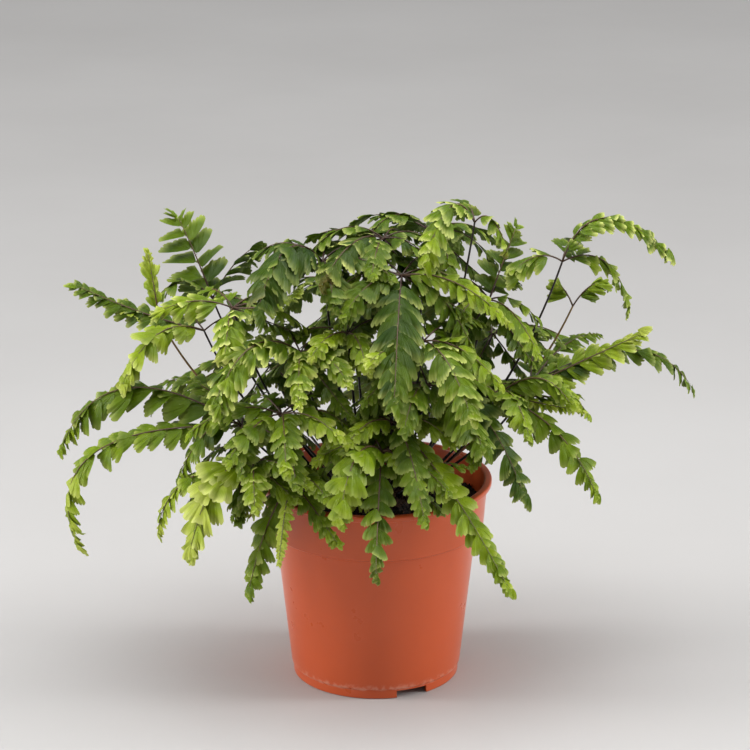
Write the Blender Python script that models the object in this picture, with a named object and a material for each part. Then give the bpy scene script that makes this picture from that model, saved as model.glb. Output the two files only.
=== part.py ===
"""Potted rosy maidenhair fern: a 12 cm nursery pot, its root ball and crown, and the fronds.

Metres, +Z up. The origin is on the pot's axis at the height of its foot. Sizes in the tables
are millimetres. A frond is a wiry stipe that ends at a hub, and a blade: the fingers that fan
out from that hub, each an arched ribbon of leaflets, thin and slightly folded along its rib.
"""

from collections import namedtuple
from functools import partial
from math import atan2, cos, pi, radians, sin

import bmesh
import bpy
from mathutils import Vector
from mathutils.bvhtree import BVHTree

MM = 0.001
UP = Vector((0, 0, 1))
WELD = 0.001
SHARP_ANGLE = 35

# Pot, in millimetres
RIM_RADIUS = 60.0
POT_HEIGHT = 106.2
WALL = 1.4
LIP_HEIGHT = 2.8
EDGE = 0.8
BAND_TOP_RADIUS = 57.6
BAND_FOOT_RADIUS = 55.8
BAND_FOOT_Z = 80.8
BODY_TOP_RADIUS = 52.2
BODY_TOP_Z = 79.4
RIDGE_RADIUS = 44.0
RIDGE_Z = 5.6
FOOT_RADIUS = 43.0
FOOT_WIDTH = 2.0
FLOOR_Z = 5.4
POT_SIDES = 48
NOTCH_COUNT = 4
NOTCH_WIDTH = 17.0
NOTCH_HEIGHT = 3.9
NOTCH_TURN = 26.0
DRAIN_COUNT = 8
DRAIN_RADIUS = 4.0
DRAIN_CIRCLE = 31.0
DRAIN_SIDES = 12
CUT_SPARE = 2.5
NOTCH_REACH = 16.0

# Root ball and crown
GAP = 0.35
SOIL_EDGE_Z = 93.0
SOIL_CROWN_Z = 94.5
DISH_RADIUS = 21.0
DISH_DEPTH = 5.0
CROWN_RADIUS = 19.0
CROWN_TOP_Z = 99.0
CROWN_SHOULDER = 5.0
CROWN_STEPS = (0.95, 0.75, 0.5, 0.25, 0)
SOIL_SIDES = 32
SOIL_SHOULDER = 4.0
DISH_LIP = 6.0
DISH_SLOPE = 3.0

# Fronds
STIPE_BASE_RADIUS = 0.8
STIPE_TOP_RADIUS = 0.5
STIPE_SIDES = 5
STIPE_RINGS = 7
STIPE_LEAN = 0.72
STIPE_REACH = 0.35
FOOT_MARGIN = 3.0
FOOT_NEAREST = 4.0
FOOT_SPREAD = 0.13
FOOT_SWAY = 0.1
HUB_RADIUS = 2.2
RIB_THICKNESS = 1.2
FOLD = 0.35
STALK_HALF_WIDTH = 0.9
WIDENING = 0.3
TIP_HALF_WIDTH = 1.0
TAPER_START = 0.5
TAPER_POWER = 1.6
FINGER_STEPS = (0.0, 0.12, 0.3, 0.55, 0.8, 1.0)
CLEAR_WIDTH = 0.6
CLEAR_THICKNESS = 0.5
FINGER_REACHES = (2, 4, 6, 9, 12, 16, 20, 25)
STIPE_REACHES = (4, 8, 12, 18, 24, 32)
NUDGE_TURNS = 8
OUTWARD_TILT = 24
OPEN_FRONDS = (3, 4, 15, 16, 27, 28)
FILLER_REACHES = (4, 8, 12, 16)

Finger = namedtuple("Finger", "tip rise lean roll half")
Filler = namedtuple("Filler", "turn reach drop rise half")

UPPER_FILLER = Filler(turn=52, reach=37, drop=13, rise=7, half=8)
LOWER_FILLER = Filler(turn=80, reach=33, drop=27, rise=0, half=7)


def finger(x, y, z, rise=5, lean=0.5, roll=None, half=8):
    """Tip, how high over its chord and how far along it the arch has its middle, roll, half width.

    A finger with no roll of its own leans out from the pot's axis.
    """
    return Finger(Vector((x, y, z)), rise, lean, roll, half)


# Each frond: its hub, then its fingers.
FRONDS = (
    # left, long and arching
    ((-68, -18, 140), (
        finger(-161, -15, 127, rise=28, lean=0.62, roll=-32, half=11),
        finger(-152, -38, 83, rise=42, lean=0.88, roll=-25, half=8),
        finger(-114, 22, 148, rise=12),
        finger(-100, -40, 120, rise=12, half=8),
        finger(-94, -6, 160, rise=4, half=8),
    )),
    # right, low: one arching out bright, one behind it to the far right
    ((79, 0, 156), (
        finger(164, 20, 148, rise=20, lean=0.6, roll=20, half=7),
        finger(135, 4, 182, rise=0, lean=0.6, roll=40, half=8),
        finger(117, 42, 170, rise=8, half=7),
        finger(100, -34, 158, rise=9, half=8),
        finger(84, 38, 172, rise=6, half=7),
        finger(108, -18, 146, rise=8, half=7),
    )),
    # top right, above its long bare stipe
    ((95, 10, 219), (
        finger(148, 10, 224, rise=21, lean=0.38, roll=25, half=7),
        finger(71, 0, 218, rise=5, roll=-20, half=8),
        finger(130, 20, 194, rise=14, lean=0.6, roll=15, half=7),
        finger(104, 48, 218, rise=6, half=7),
    )),
    # top, two fingers parting over the stipe
    ((50, 5, 241), (
        finger(25, -22, 229, rise=18, lean=0.5, roll=-10, half=10),
        finger(67, -4, 227, rise=10, lean=0.5, half=7),
        finger(44, 38, 236, rise=8, half=8),
    )),
    # middle: the broad one that droops towards the front
    ((13, -15, 219), (
        finger(9, -78, 172, rise=8, lean=0.45, half=14),
        finger(67, -30, 198, rise=9, lean=0.5, roll=25, half=7),
        finger(49, -26, 184, rise=10, lean=0.5, half=8),
        finger(36, 34, 214, rise=7, half=8),
        finger(-16, 24, 216, rise=7, half=8),
    )),
    # upper left, broad and dark
    ((-27, 0, 222), (
        finger(-58, -50, 212, rise=20, lean=0.55, roll=-8, half=12),
        finger(-64, 26, 216, rise=9, half=9),
        finger(-22, 46, 214, rise=8, half=9),
        finger(8, -28, 222, rise=6, half=7),
    )),
    # left of the middle, with bright crisp margins
    ((-38, -20, 180), (
        finger(-79, -70, 170, rise=18, lean=0.55, roll=-12, half=13),
        finger(-72, -16, 176, rise=7, half=8),
        finger(-14, -56, 176, rise=7, half=8),
        finger(-56, 20, 180, rise=7, half=8),
        finger(-38, -70, 170, rise=8, half=8),
    )),
    # upper left bow
    ((-72, -15, 202), (
        finger(-106, -20, 203, rise=4, roll=-25, half=8),
        finger(-76, -50, 186, rise=6, half=9),
        finger(-40, -36, 218, rise=-4, lean=0.6, roll=20, half=7),
        finger(-90, 26, 198, rise=5, half=8),
        finger(-46, 20, 196, rise=5, half=7),
    )),
    # front, long and bright, over the rim to the right
    ((9, -30, 146), (
        finger(66, -92, 80, rise=8, lean=0.48, roll=20, half=9),
        finger(24, -86, 114, rise=11, lean=0.5, half=8),
        finger(38, -50, 142, rise=7, half=8),
        finger(-14, -62, 146, rise=6, half=7),
        finger(38, 6, 146, rise=6, half=8),
    )),
    # front, over the rim in the middle
    ((3, -44, 136), (
        finger(-18, -86, 114, rise=19, lean=0.6, roll=-12, half=11),
        finger(0, -96, 88, rise=8, lean=0.6, half=8),
        finger(24, -74, 128, rise=7, half=6),
        finger(-30, -60, 136, rise=6, half=7),
        finger(36, -66, 122, rise=5, half=7),
    )),
    # front left, over the rim
    ((-42, -45, 120), (
        finger(-64, -70, 69, rise=10, lean=0.55, roll=-10, half=9),
        finger(-48, -82, 90, rise=7, half=4),
        finger(-24, -72, 120, rise=6, half=6),
        finger(-72, -50, 104, rise=8, half=7),
    )),
    # left, low and yellow-green
    ((-62, -38, 128), (
        finger(-93, -66, 90, rise=17, lean=0.58, roll=-15, half=10),
        finger(-110, -46, 92, rise=17, lean=0.72, roll=-15, half=8),
        finger(-88, -14, 120, rise=8, half=7),
        finger(-60, -74, 116, rise=6, half=7),
        finger(-34, -66, 126, rise=5, half=7),
    )),
    # right, low and dark
    ((26, -24, 164), (
        finger(53, -68, 146, rise=9, lean=0.5, roll=10, half=12),
        finger(74, -60, 118, rise=17, lean=0.55, roll=20, half=10),
        finger(58, 4, 166, rise=6, half=8),
        finger(6, -64, 156, rise=8, half=9),
        finger(66, -28, 156, rise=9, half=8),
        finger(14, 16, 168, rise=6, half=8),
    )),
    # right, low, with hanging leaflets
    ((62, -16, 156), (
        finger(111, -46, 113, rise=12, lean=0.6, roll=20, half=8),
        finger(98, -38, 158, rise=12, lean=0.55, roll=35, half=8),
        finger(105, -24, 150, rise=0, lean=0.5, roll=20, half=4),
        finger(72, -58, 144, rise=8, half=8),
        finger(88, 14, 150, rise=6, half=8),
    )),
    # left, pointing out
    ((-88, 10, 182), (
        finger(-154, 24, 202, rise=-2, lean=0.5, roll=-30, half=7),
        finger(-128, -18, 163, rise=14, lean=0.55, roll=-25, half=8),
        finger(-60, 26, 184, rise=5, half=6),
        finger(-108, 48, 172, rise=7, half=7),
    )),
    # back left, upright
    ((-86, 60, 184), (
        finger(-104, 64, 228, rise=2, lean=0.5, half=9),
        finger(-114, 42, 190, rise=9, half=7),
        finger(-62, 76, 208, rise=5, half=7),
        finger(-100, 86, 176, rise=9, half=8),
        finger(-60, 36, 182, rise=5, half=7),
    )),
    # left of the middle, low
    ((-47, -40, 154), (
        finger(-93, -52, 148, rise=8, roll=-15, half=8),
        finger(-72, -76, 143, rise=6, roll=-8, half=9),
        finger(-18, -66, 151, rise=5, roll=10, half=8),
        finger(-44, -84, 140, rise=8, half=8),
        finger(-68, -4, 150, rise=6, half=8),
        finger(-24, -6, 154, rise=6, half=8),
    )),
    # top middle, one finger with a browned tip
    ((4, 10, 231), (
        finger(-28, -28, 217, rise=9, roll=-10, half=10),
        finger(30, 20, 226, rise=5, half=7),
        finger(-34, 36, 224, rise=5, half=8),
        finger(14, 44, 222, rise=5, half=8),
        finger(-2, -30, 224, rise=5, half=7),
    )),
    # right of the middle, broad
    ((24, -32, 190), (
        finger(46, -78, 168, rise=8, roll=8, half=11),
        finger(62, -48, 172, rise=7, roll=15, half=8),
        finger(0, -62, 188, rise=5, half=7),
        finger(54, 0, 190, rise=6, half=8),
        finger(12, 6, 184, rise=6, half=7),
    )),
    # middle, small
    ((-14, -14, 188), (
        finger(-32, -46, 186, rise=5, roll=-8, half=7),
        finger(-4, -50, 180, rise=6, half=7),
        finger(-36, 20, 190, rise=5, half=7),
        finger(20, 6, 188, rise=5, half=7),
    )),
    # top back
    ((28, 45, 225), (
        finger(-10, 54, 228, rise=6, half=9),
        finger(44, 96, 200, rise=10, half=9),
        finger(64, 70, 212, rise=7, half=8),
        finger(8, 92, 204, rise=9, half=8),
    )),
    # right of the top, feathery
    ((58, 15, 197), (
        finger(72, 28, 232, rise=0, lean=0.5, half=7),
        finger(84, 4, 188, rise=6, half=7),
        finger(74, 54, 194, rise=7, half=8),
        finger(38, 50, 196, rise=6, half=7),
        finger(82, -24, 180, rise=7, half=8),
        finger(36, -14, 190, rise=5, half=7),
    )),
    # back middle
    ((-12, 62, 186), (
        finger(-6, 98, 150, rise=15, lean=0.6, half=10),
        finger(-52, 92, 164, rise=12, half=9),
        finger(30, 96, 164, rise=12, half=9),
        finger(-46, 48, 196, rise=6, half=8),
        finger(18, 28, 196, rise=6, half=8),
        finger(-28, 20, 180, rise=6, half=8),
    )),
    # back right
    ((62, 62, 164), (
        finger(92, 94, 130, rise=14, lean=0.6, half=9),
        finger(116, 62, 146, rise=12, half=9),
        finger(54, 98, 136, rise=12, half=8),
        finger(84, 26, 172, rise=6, half=7),
        finger(34, 30, 168, rise=7, half=8),
        finger(100, 40, 150, rise=8, half=8),
    )),
    # back left, low
    ((-56, 62, 146), (
        finger(-84, 94, 108, rise=15, lean=0.6, half=9),
        finger(-118, 64, 122, rise=14, half=9),
        finger(-40, 98, 110, rise=12, lean=0.6, half=8),
        finger(-106, 34, 130, rise=10, half=8),
        finger(-36, 26, 158, rise=6, half=8),
        finger(-76, 26, 146, rise=6, half=8),
    )),
    # back, low
    ((10, 62, 138), (
        finger(12, 98, 92, rise=14, lean=0.65, half=9),
        finger(56, 92, 98, rise=14, lean=0.6, half=8),
        finger(-30, 96, 98, rise=12, lean=0.6, half=8),
        finger(52, 44, 130, rise=9, half=8),
        finger(-26, 38, 136, rise=6, half=8),
        finger(24, 22, 144, rise=6, half=8),
    )),
    # young shoot, upper left
    ((-112, 25, 184), (
        finger(-117, 26, 219, rise=1, half=4),
        finger(-125, 14, 196, rise=3, half=4),
    )),
    # young shoot, upper right
    ((102, 30, 189), (
        finger(119, 36, 200, rise=4, half=4),
        finger(94, 26, 202, rise=2, half=4),
    )),
)


def clear_scene():
    for obj in list(bpy.data.objects):
        bpy.data.objects.remove(obj, do_unlink=True)


def material(name, color, roughness):
    made = bpy.data.materials.new(name)
    made.use_nodes = True
    shader = made.node_tree.nodes["Principled BSDF"]
    shader.inputs["Base Color"].default_value = (*color, 1)
    shader.inputs["Roughness"].default_value = roughness
    shader.inputs["Metallic"].default_value = 0
    made.diffuse_color = (*color, 1)
    return made


def new_object(name, bm, finish, collection=None):
    bmesh.ops.recalc_face_normals(bm, faces=bm.faces)
    mesh = bpy.data.meshes.new(name)
    bm.to_mesh(mesh)
    bm.free()
    mesh.materials.append(finish)
    mesh.shade_smooth()
    mesh.set_sharp_from_angle(angle=radians(SHARP_ANGLE))
    made = bpy.data.objects.new(name, mesh)
    (collection or bpy.context.scene.collection).objects.link(made)
    return made


def hide_helper(obj):
    obj.hide_render = True
    obj.display_type = "WIRE"


def turned(outline, sides, closed):
    """The outline, (radius, z) in mm, spun round the Z axis."""
    bm = bmesh.new()
    corners = [bm.verts.new((r * MM, 0, z * MM)) for r, z in outline]
    edges = [bm.edges.new(pair) for pair in zip(corners, corners[1:])]
    if closed:
        edges.append(bm.edges.new((corners[-1], corners[0])))
    bmesh.ops.spin(
        bm, geom=corners + edges, angle=2 * pi, steps=sides, axis=UP, cent=(0, 0, 0), use_merge=True
    )
    bmesh.ops.remove_doubles(bm, verts=bm.verts, dist=WELD * MM)
    return bm


def pot_outline():
    lip_z = POT_HEIGHT - LIP_HEIGHT
    outer = [
        (FOOT_RADIUS, 0),
        (FOOT_RADIUS, RIDGE_Z - EDGE),
        (RIDGE_RADIUS, RIDGE_Z),
        (BODY_TOP_RADIUS, BODY_TOP_Z),
        (BAND_FOOT_RADIUS, BAND_FOOT_Z),
        (BAND_TOP_RADIUS, lip_z - EDGE),
        (RIM_RADIUS - EDGE, lip_z),
        (RIM_RADIUS, lip_z + EDGE),
        (RIM_RADIUS, POT_HEIGHT - EDGE),
        (RIM_RADIUS - EDGE, POT_HEIGHT),
    ]
    inner = [
        (BAND_TOP_RADIUS - WALL + EDGE, POT_HEIGHT),
        (BAND_TOP_RADIUS - WALL, POT_HEIGHT - EDGE),
        (BAND_FOOT_RADIUS - WALL, BAND_FOOT_Z + WALL),
        (BODY_TOP_RADIUS - WALL, BODY_TOP_Z),
        (RIDGE_RADIUS - WALL, FLOOR_Z + 2 * WALL),
        (RIDGE_RADIUS - 2 * WALL, FLOOR_Z + WALL),
        (0, FLOOR_Z + WALL),
    ]
    under = [
        (0, FLOOR_Z),
        (FOOT_RADIUS - FOOT_WIDTH, FLOOR_Z),
        (FOOT_RADIUS - FOOT_WIDTH, 0),
    ]
    return outer + inner + under


def add_cylinder(bm, centre, radius, low, high, sides):
    made = bmesh.ops.create_cone(
        bm, cap_ends=True, segments=sides, radius1=radius * MM, radius2=radius * MM, depth=(high - low) * MM
    )
    middle = Vector((centre[0], centre[1], (low + high) / 2)) * MM
    bmesh.ops.translate(bm, verts=made["verts"], vec=middle)


def pot_cutter():
    """Drain holes through the floor, and notches through the foot ring."""
    bm = bmesh.new()
    low = FLOOR_Z - CUT_SPARE
    high = FLOOR_Z + WALL + CUT_SPARE
    add_cylinder(bm, (0, 0), DRAIN_RADIUS, low, high, DRAIN_SIDES)
    for index in range(DRAIN_COUNT):
        angle = 2 * pi * index / DRAIN_COUNT
        centre = (DRAIN_CIRCLE * cos(angle), DRAIN_CIRCLE * sin(angle))
        add_cylinder(bm, centre, DRAIN_RADIUS, low, high, DRAIN_SIDES)
    for index in range(NOTCH_COUNT):
        angle = radians(NOTCH_TURN - 90) + 2 * pi * index / NOTCH_COUNT
        ahead = Vector((cos(angle), sin(angle), 0))
        across = Vector((-ahead.y, ahead.x, 0))
        box = bmesh.ops.create_cube(bm, size=1)["verts"]
        for corner in box:
            x, y, z = corner.co
            place = ahead * (FOOT_RADIUS + x * NOTCH_REACH) + across * (y * NOTCH_WIDTH)
            corner.co = (place + UP * (NOTCH_HEIGHT if z > 0 else -NOTCH_HEIGHT)) * MM
    return bm


def build_pot(finish):
    pot = new_object("pot", turned(pot_outline(), POT_SIDES, closed=True), finish)
    cutter = new_object("pot_cutter", pot_cutter(), finish)
    hide_helper(cutter)
    cut = pot.modifiers.new("notches_and_drain_holes", "BOOLEAN")
    cut.operation = "DIFFERENCE"
    cut.object = cutter


def wall_inside(z):
    """The pot's inner radius at a height inside it."""
    low = (RIDGE_RADIUS - WALL, FLOOR_Z + 2 * WALL)
    high = (BODY_TOP_RADIUS - WALL, BODY_TOP_Z)
    if z > BAND_FOOT_Z + WALL:
        low = (BAND_FOOT_RADIUS - WALL, BAND_FOOT_Z + WALL)
        high = (BAND_TOP_RADIUS - WALL, POT_HEIGHT - EDGE)
    return low[0] + (high[0] - low[0]) * (z - low[1]) / (high[1] - low[1])


def crown_top(radius):
    return CROWN_TOP_Z - CROWN_SHOULDER * (radius / CROWN_RADIUS) ** 2


def build_soil(finish):
    low = FLOOR_Z + WALL + GAP
    outline = [
        (0, low),
        (RIDGE_RADIUS - 3 * WALL, low),
        (wall_inside(low + 2 * WALL) - 2 * GAP, low + 2 * WALL),
        (wall_inside(BODY_TOP_Z) - 2 * GAP, BODY_TOP_Z),
        (wall_inside(BAND_FOOT_Z + 2 * WALL) - 2 * GAP, BAND_FOOT_Z + 2 * WALL),
        (wall_inside(SOIL_EDGE_Z) - 2 * GAP, SOIL_EDGE_Z),
        (wall_inside(SOIL_EDGE_Z) - SOIL_SHOULDER, SOIL_EDGE_Z + 1),
        (DISH_RADIUS + DISH_LIP, SOIL_CROWN_Z),
        (DISH_RADIUS, SOIL_CROWN_Z - EDGE),
        (DISH_RADIUS - DISH_SLOPE, SOIL_CROWN_Z - DISH_DEPTH),
        (0, SOIL_CROWN_Z - DISH_DEPTH),
    ]
    new_object("soil", turned(outline, SOIL_SIDES, closed=False), finish)


def build_crown(finish):
    low = SOIL_CROWN_Z - DISH_DEPTH + GAP
    outline = [(0, low), (DISH_RADIUS - DISH_DEPTH, low), (CROWN_RADIUS, SOIL_CROWN_Z)]
    outline += [(CROWN_RADIUS * share, crown_top(CROWN_RADIUS * share)) for share in CROWN_STEPS]
    new_object("rhizome", turned(outline, SOIL_SIDES, closed=False), finish)


def on_arch(start, control, end, t):
    return start * (1 - t) ** 2 + control * (2 * t * (1 - t)) + end * t**2


def along_arch(start, control, end, t):
    return ((control - start) * (1 - t) + (end - control) * t).normalized()


def nudges(reaches):
    """Offsets (sideways, up, extra rise) in mm, the planned lay first and then ever further from it."""
    yield 0, 0, 0
    for reach in reaches:
        for turn in range(NUDGE_TURNS):
            angle = 2 * pi * turn / NUDGE_TURNS
            for bow in (0, reach / 3, -reach / 3):
                yield reach * cos(angle), reach * sin(angle), bow


def fillers(hub, plans, kind):
    """Short fingers in the widest gaps round a hub, as many as bring its fingers close together."""
    turns = sorted(atan2(plan.tip.y - hub.y, plan.tip.x - hub.x) for plan in plans)
    for turn, following in zip(turns, turns[1:] + [turns[0] + 2 * pi]):
        spaces = max(1, round((following - turn) / radians(kind.turn)))
        for index in range(1, spaces):
            angle = turn + (following - turn) * index / spaces
            ahead = Vector((cos(angle), sin(angle), 0))
            tip = hub + ahead * kind.reach - UP * kind.drop
            yield finger(*tip, rise=kind.rise, half=kind.half)


def all_fillers(hub, plans):
    """The fingers that close the gaps in the blade, and a ring of drooping ones below them."""
    yield from fillers(hub, plans, UPPER_FILLER)
    yield from fillers(hub, plans[:1], LOWER_FILLER)


def roll_of(hub, plan, side):
    if plan.roll is not None:
        return radians(plan.roll)
    middle = (hub + plan.tip) / 2
    return -radians(OUTWARD_TILT) * side.dot(Vector((middle.x, middle.y, 0)).normalized())


def arch_of(hub, plan, nudge):
    """Control point, tip and sideways direction of a finger."""
    chord = plan.tip - hub
    side = Vector((-chord.y, chord.x, 0)).normalized()
    tip = plan.tip + side * nudge[0] + UP * nudge[1]
    middle = hub.lerp(tip, plan.lean) + UP * (plan.rise + nudge[2])
    return 2 * middle - (hub + tip) / 2, tip, side


def half_width(plan, t, distance):
    taper = max(0, (t - TAPER_START) / (1 - TAPER_START)) ** TAPER_POWER
    full = plan.half + (TIP_HALF_WIDTH - plan.half) * taper
    return max(STALK_HALF_WIDTH, min(full, distance * WIDENING))


def finger_shell(hub, plan, nudge, spare):
    """Corners in mm and faces of a finger: a thin ribbon, folded down on both sides of its rib."""
    control, tip, side = arch_of(hub, plan, nudge)
    length = (tip - hub).length
    roll = roll_of(hub, plan, side)
    corners = []
    for t in FINGER_STEPS:
        place = on_arch(hub, control, tip, t)
        ahead = along_arch(hub, control, tip, t)
        lifted = ahead.cross(side)
        left = side * cos(roll) + lifted * sin(roll)
        top = lifted * cos(roll) - side * sin(roll)
        half = half_width(plan, t, length * t) + spare * CLEAR_WIDTH
        thick = RIB_THICKNESS / 2 + spare * CLEAR_THICKNESS
        corners += [
            place + left * half - top * (half * FOLD),
            place - top * thick,
            place - left * half - top * (half * FOLD),
            place + top * thick,
        ]
    faces = []
    for ring in range(len(FINGER_STEPS) - 1):
        for edge in range(4):
            near = 4 * ring + edge
            far = 4 * ring + (edge + 1) % 4
            faces.append((near, far, far + 4, near + 4))
    last = len(corners) - 4
    faces += [(0, 3, 1), (1, 3, 2), (last, last + 1, last + 3), (last + 1, last + 2, last + 3)]
    return corners, faces


def stipe_arch(hub, nudge):
    """Foot, control point and head of a stipe, from the crown to just short of its hub."""
    level = Vector((hub.x, hub.y, 0))
    outward = level.normalized()
    side = Vector((-outward.y, outward.x, 0))
    foot_radius = min(CROWN_RADIUS - FOOT_MARGIN, FOOT_NEAREST + level.length * FOOT_SPREAD)
    foot = outward * foot_radius + side * (nudge[0] * FOOT_SWAY)
    foot.z = crown_top(foot.length) + 2 * GAP
    control = level * STIPE_LEAN + side * nudge[0] + outward * nudge[1]
    control.z = foot.z + (hub.z - foot.z) * STIPE_REACH
    head = hub - (hub - control).normalized() * (HUB_RADIUS + GAP)
    return foot, control, head


def stipe_shell(hub, nudge, spare):
    """Corners in mm and faces of a stipe: a tapering tube."""
    foot, control, head = stipe_arch(hub, nudge)
    corners = []
    for ring in range(STIPE_RINGS):
        t = ring / (STIPE_RINGS - 1)
        place = on_arch(foot, control, head, t)
        ahead = along_arch(foot, control, head, t)
        if ring == 0:
            ahead = UP
        across = ahead.cross(Vector((1, 0, 0))).normalized()
        other = ahead.cross(across)
        radius = STIPE_BASE_RADIUS + (STIPE_TOP_RADIUS - STIPE_BASE_RADIUS) * t + spare * CLEAR_THICKNESS
        for index in range(STIPE_SIDES):
            angle = 2 * pi * index / STIPE_SIDES
            corners.append(place + across * (radius * cos(angle)) + other * (radius * sin(angle)))
    faces = []
    for ring in range(STIPE_RINGS - 1):
        for edge in range(STIPE_SIDES):
            near = STIPE_SIDES * ring + edge
            far = STIPE_SIDES * ring + (edge + 1) % STIPE_SIDES
            faces.append((near, far, far + STIPE_SIDES, near + STIPE_SIDES))
    faces.append(tuple(range(STIPE_SIDES)))
    faces.append(tuple(range(len(corners) - STIPE_SIDES, len(corners))))
    return corners, faces


class Room:
    """What is placed so far, to keep each new shell clear of the rest."""

    def __init__(self):
        self.held = []

    @staticmethod
    def limits(corners):
        low = [min(corner[axis] for corner in corners) for axis in range(3)]
        high = [max(corner[axis] for corner in corners) for axis in range(3)]
        return low, high

    def free(self, shell, kin):
        low, high = self.limits(shell[0])
        tree = None
        for other, other_low, other_high, name in self.held:
            apart = any(low[axis] > other_high[axis] or high[axis] < other_low[axis] for axis in range(3))
            if apart or name in kin:
                continue
            tree = tree or BVHTree.FromPolygons(*shell)
            if tree.overlap(other):
                return False
        return True

    def add(self, shell, owner):
        self.held.append((BVHTree.FromPolygons(*shell), *self.limits(shell[0]), owner))

    def settle(self, make, reaches, owner, kin=()):
        """The first nudge whose shell is clear of all that others than its owner and kin hold, or None."""
        for nudge in nudges(reaches):
            if self.free(make(nudge, 1), (owner, *kin)):
                self.add(make(nudge, 0), owner)
                return nudge
        return None

    def lay(self, make, reaches, owner, kin):
        """The settled shell of a piece that the fern can't do without."""
        nudge = self.settle(make, reaches, owner, kin)
        if nudge is None:
            raise ValueError(f"{owner} has no room")
        return make(nudge, 0)


def mesh_of(shell):
    bm = bmesh.new()
    corners = [bm.verts.new(corner * MM) for corner in shell[0]]
    for face in shell[1]:
        bm.faces.new([corners[index] for index in face])
    return bm


def shell_of(bm):
    bm.verts.index_update()
    corners = [vertex.co / MM for vertex in bm.verts]
    faces = [tuple(vertex.index for vertex in face.verts) for face in bm.faces]
    return corners, faces


def hub_ball(hub, spare=0):
    bm = bmesh.new()
    bmesh.ops.create_icosphere(bm, subdivisions=1, radius=(HUB_RADIUS + spare * CLEAR_THICKNESS) * MM)
    bmesh.ops.translate(bm, verts=bm.verts, vec=hub * MM)
    return bm


def build_blade(name, hub, shells, finish):
    """The hub with its fingers joined to it by a Boolean union."""
    fingers = bpy.data.collections.new(name + "_fingers")
    fingers.hide_render = True
    bpy.context.scene.collection.children.link(fingers)
    for index, shell in enumerate(shells, 1):
        hide_helper(new_object(f"{name}_finger_{index}", mesh_of(shell), finish, fingers))
    blade = new_object(name, hub_ball(hub), finish)
    join = blade.modifiers.new("fingers", "BOOLEAN")
    join.operation = "UNION"
    join.operand_type = "COLLECTION"
    join.collection = fingers


def frond_name(number):
    return f"frond_{number:02d}"


def fixed_shells():
    """What no frond may touch before the first one is placed: the pot and every hub."""
    yield "pot", turned(pot_outline(), POT_SIDES, closed=True)
    for number, (hub, _) in enumerate(FRONDS, 1):
        yield frond_name(number), hub_ball(Vector(hub), spare=1)


def build_fronds(stem_finish, leaf_finish):
    """Every stipe is placed first, then the planned fingers, then the fillers that still find room."""
    room = Room()
    for owner, bm in fixed_shells():
        room.add(shell_of(bm), owner)
        bm.free()
    fronds = [(frond_name(number), Vector(hub), plans) for number, (hub, plans) in enumerate(FRONDS, 1)]
    for name, hub, _ in fronds:
        stipe = room.lay(partial(stipe_shell, hub), STIPE_REACHES, name + "_stipe", (name,))
        new_object(name + "_stipe", mesh_of(stipe), stem_finish)
    shells = {
        name: [
            room.lay(partial(finger_shell, hub, plan), FINGER_REACHES, name, (name + "_stipe",)) for plan in plans
        ]
        for name, hub, plans in fronds
    }
    for number, (name, hub, plans) in enumerate(fronds, 1):
        for plan in () if number in OPEN_FRONDS else all_fillers(hub, plans):
            nudge = room.settle(partial(finger_shell, hub, plan), FILLER_REACHES, name)
            if nudge is not None:
                shells[name].append(finger_shell(hub, plan, nudge, 0))
    for name, hub, _ in fronds:
        build_blade(name + "_blade", hub, shells[name], leaf_finish)


def main():
    clear_scene()
    build_pot(material("terracotta_plastic", (0.62, 0.13, 0.045), 0.42))
    build_soil(material("peat", (0.020, 0.012, 0.008), 0.95))
    build_crown(material("rhizome_scales", (0.060, 0.030, 0.016), 0.9))
    stem_finish = material("stipe_black", (0.012, 0.007, 0.006), 0.3)
    leaf_finish = material("leaf_green", (0.10, 0.19, 0.035), 0.45)
    build_fronds(stem_finish, leaf_finish)


main()
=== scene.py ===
"""The looks of the potted fern: every leaflet, rib and stem, the crown, the soil and the pot.

Lengths in the plan and in the functions are millimetres, and meshes are written in metres. A
frond is a wiry stipe that ends at a hub. Fingers fan out from the hub, each an arched rachis
with two rows of leaflets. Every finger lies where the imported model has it.
"""

from collections import namedtuple
from functools import partial
from math import atan2, cos, pi, radians, sin

import bmesh
import bpy
import numpy as np
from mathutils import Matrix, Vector, noise
from mathutils.kdtree import KDTree


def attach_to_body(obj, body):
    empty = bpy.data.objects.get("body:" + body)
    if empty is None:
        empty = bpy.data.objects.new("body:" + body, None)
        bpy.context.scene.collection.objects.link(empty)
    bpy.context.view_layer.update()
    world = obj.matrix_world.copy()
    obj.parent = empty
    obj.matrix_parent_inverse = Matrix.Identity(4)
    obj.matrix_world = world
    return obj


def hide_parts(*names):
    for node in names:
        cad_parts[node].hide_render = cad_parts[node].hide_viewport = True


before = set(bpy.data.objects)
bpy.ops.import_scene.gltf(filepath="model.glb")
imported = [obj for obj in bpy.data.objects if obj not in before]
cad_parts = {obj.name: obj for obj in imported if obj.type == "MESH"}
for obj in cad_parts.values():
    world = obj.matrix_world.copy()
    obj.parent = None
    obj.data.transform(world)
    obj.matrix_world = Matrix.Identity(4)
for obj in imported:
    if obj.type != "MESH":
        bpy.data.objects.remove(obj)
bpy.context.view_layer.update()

MM = 0.001
UP = Vector((0, 0, 1))

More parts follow.
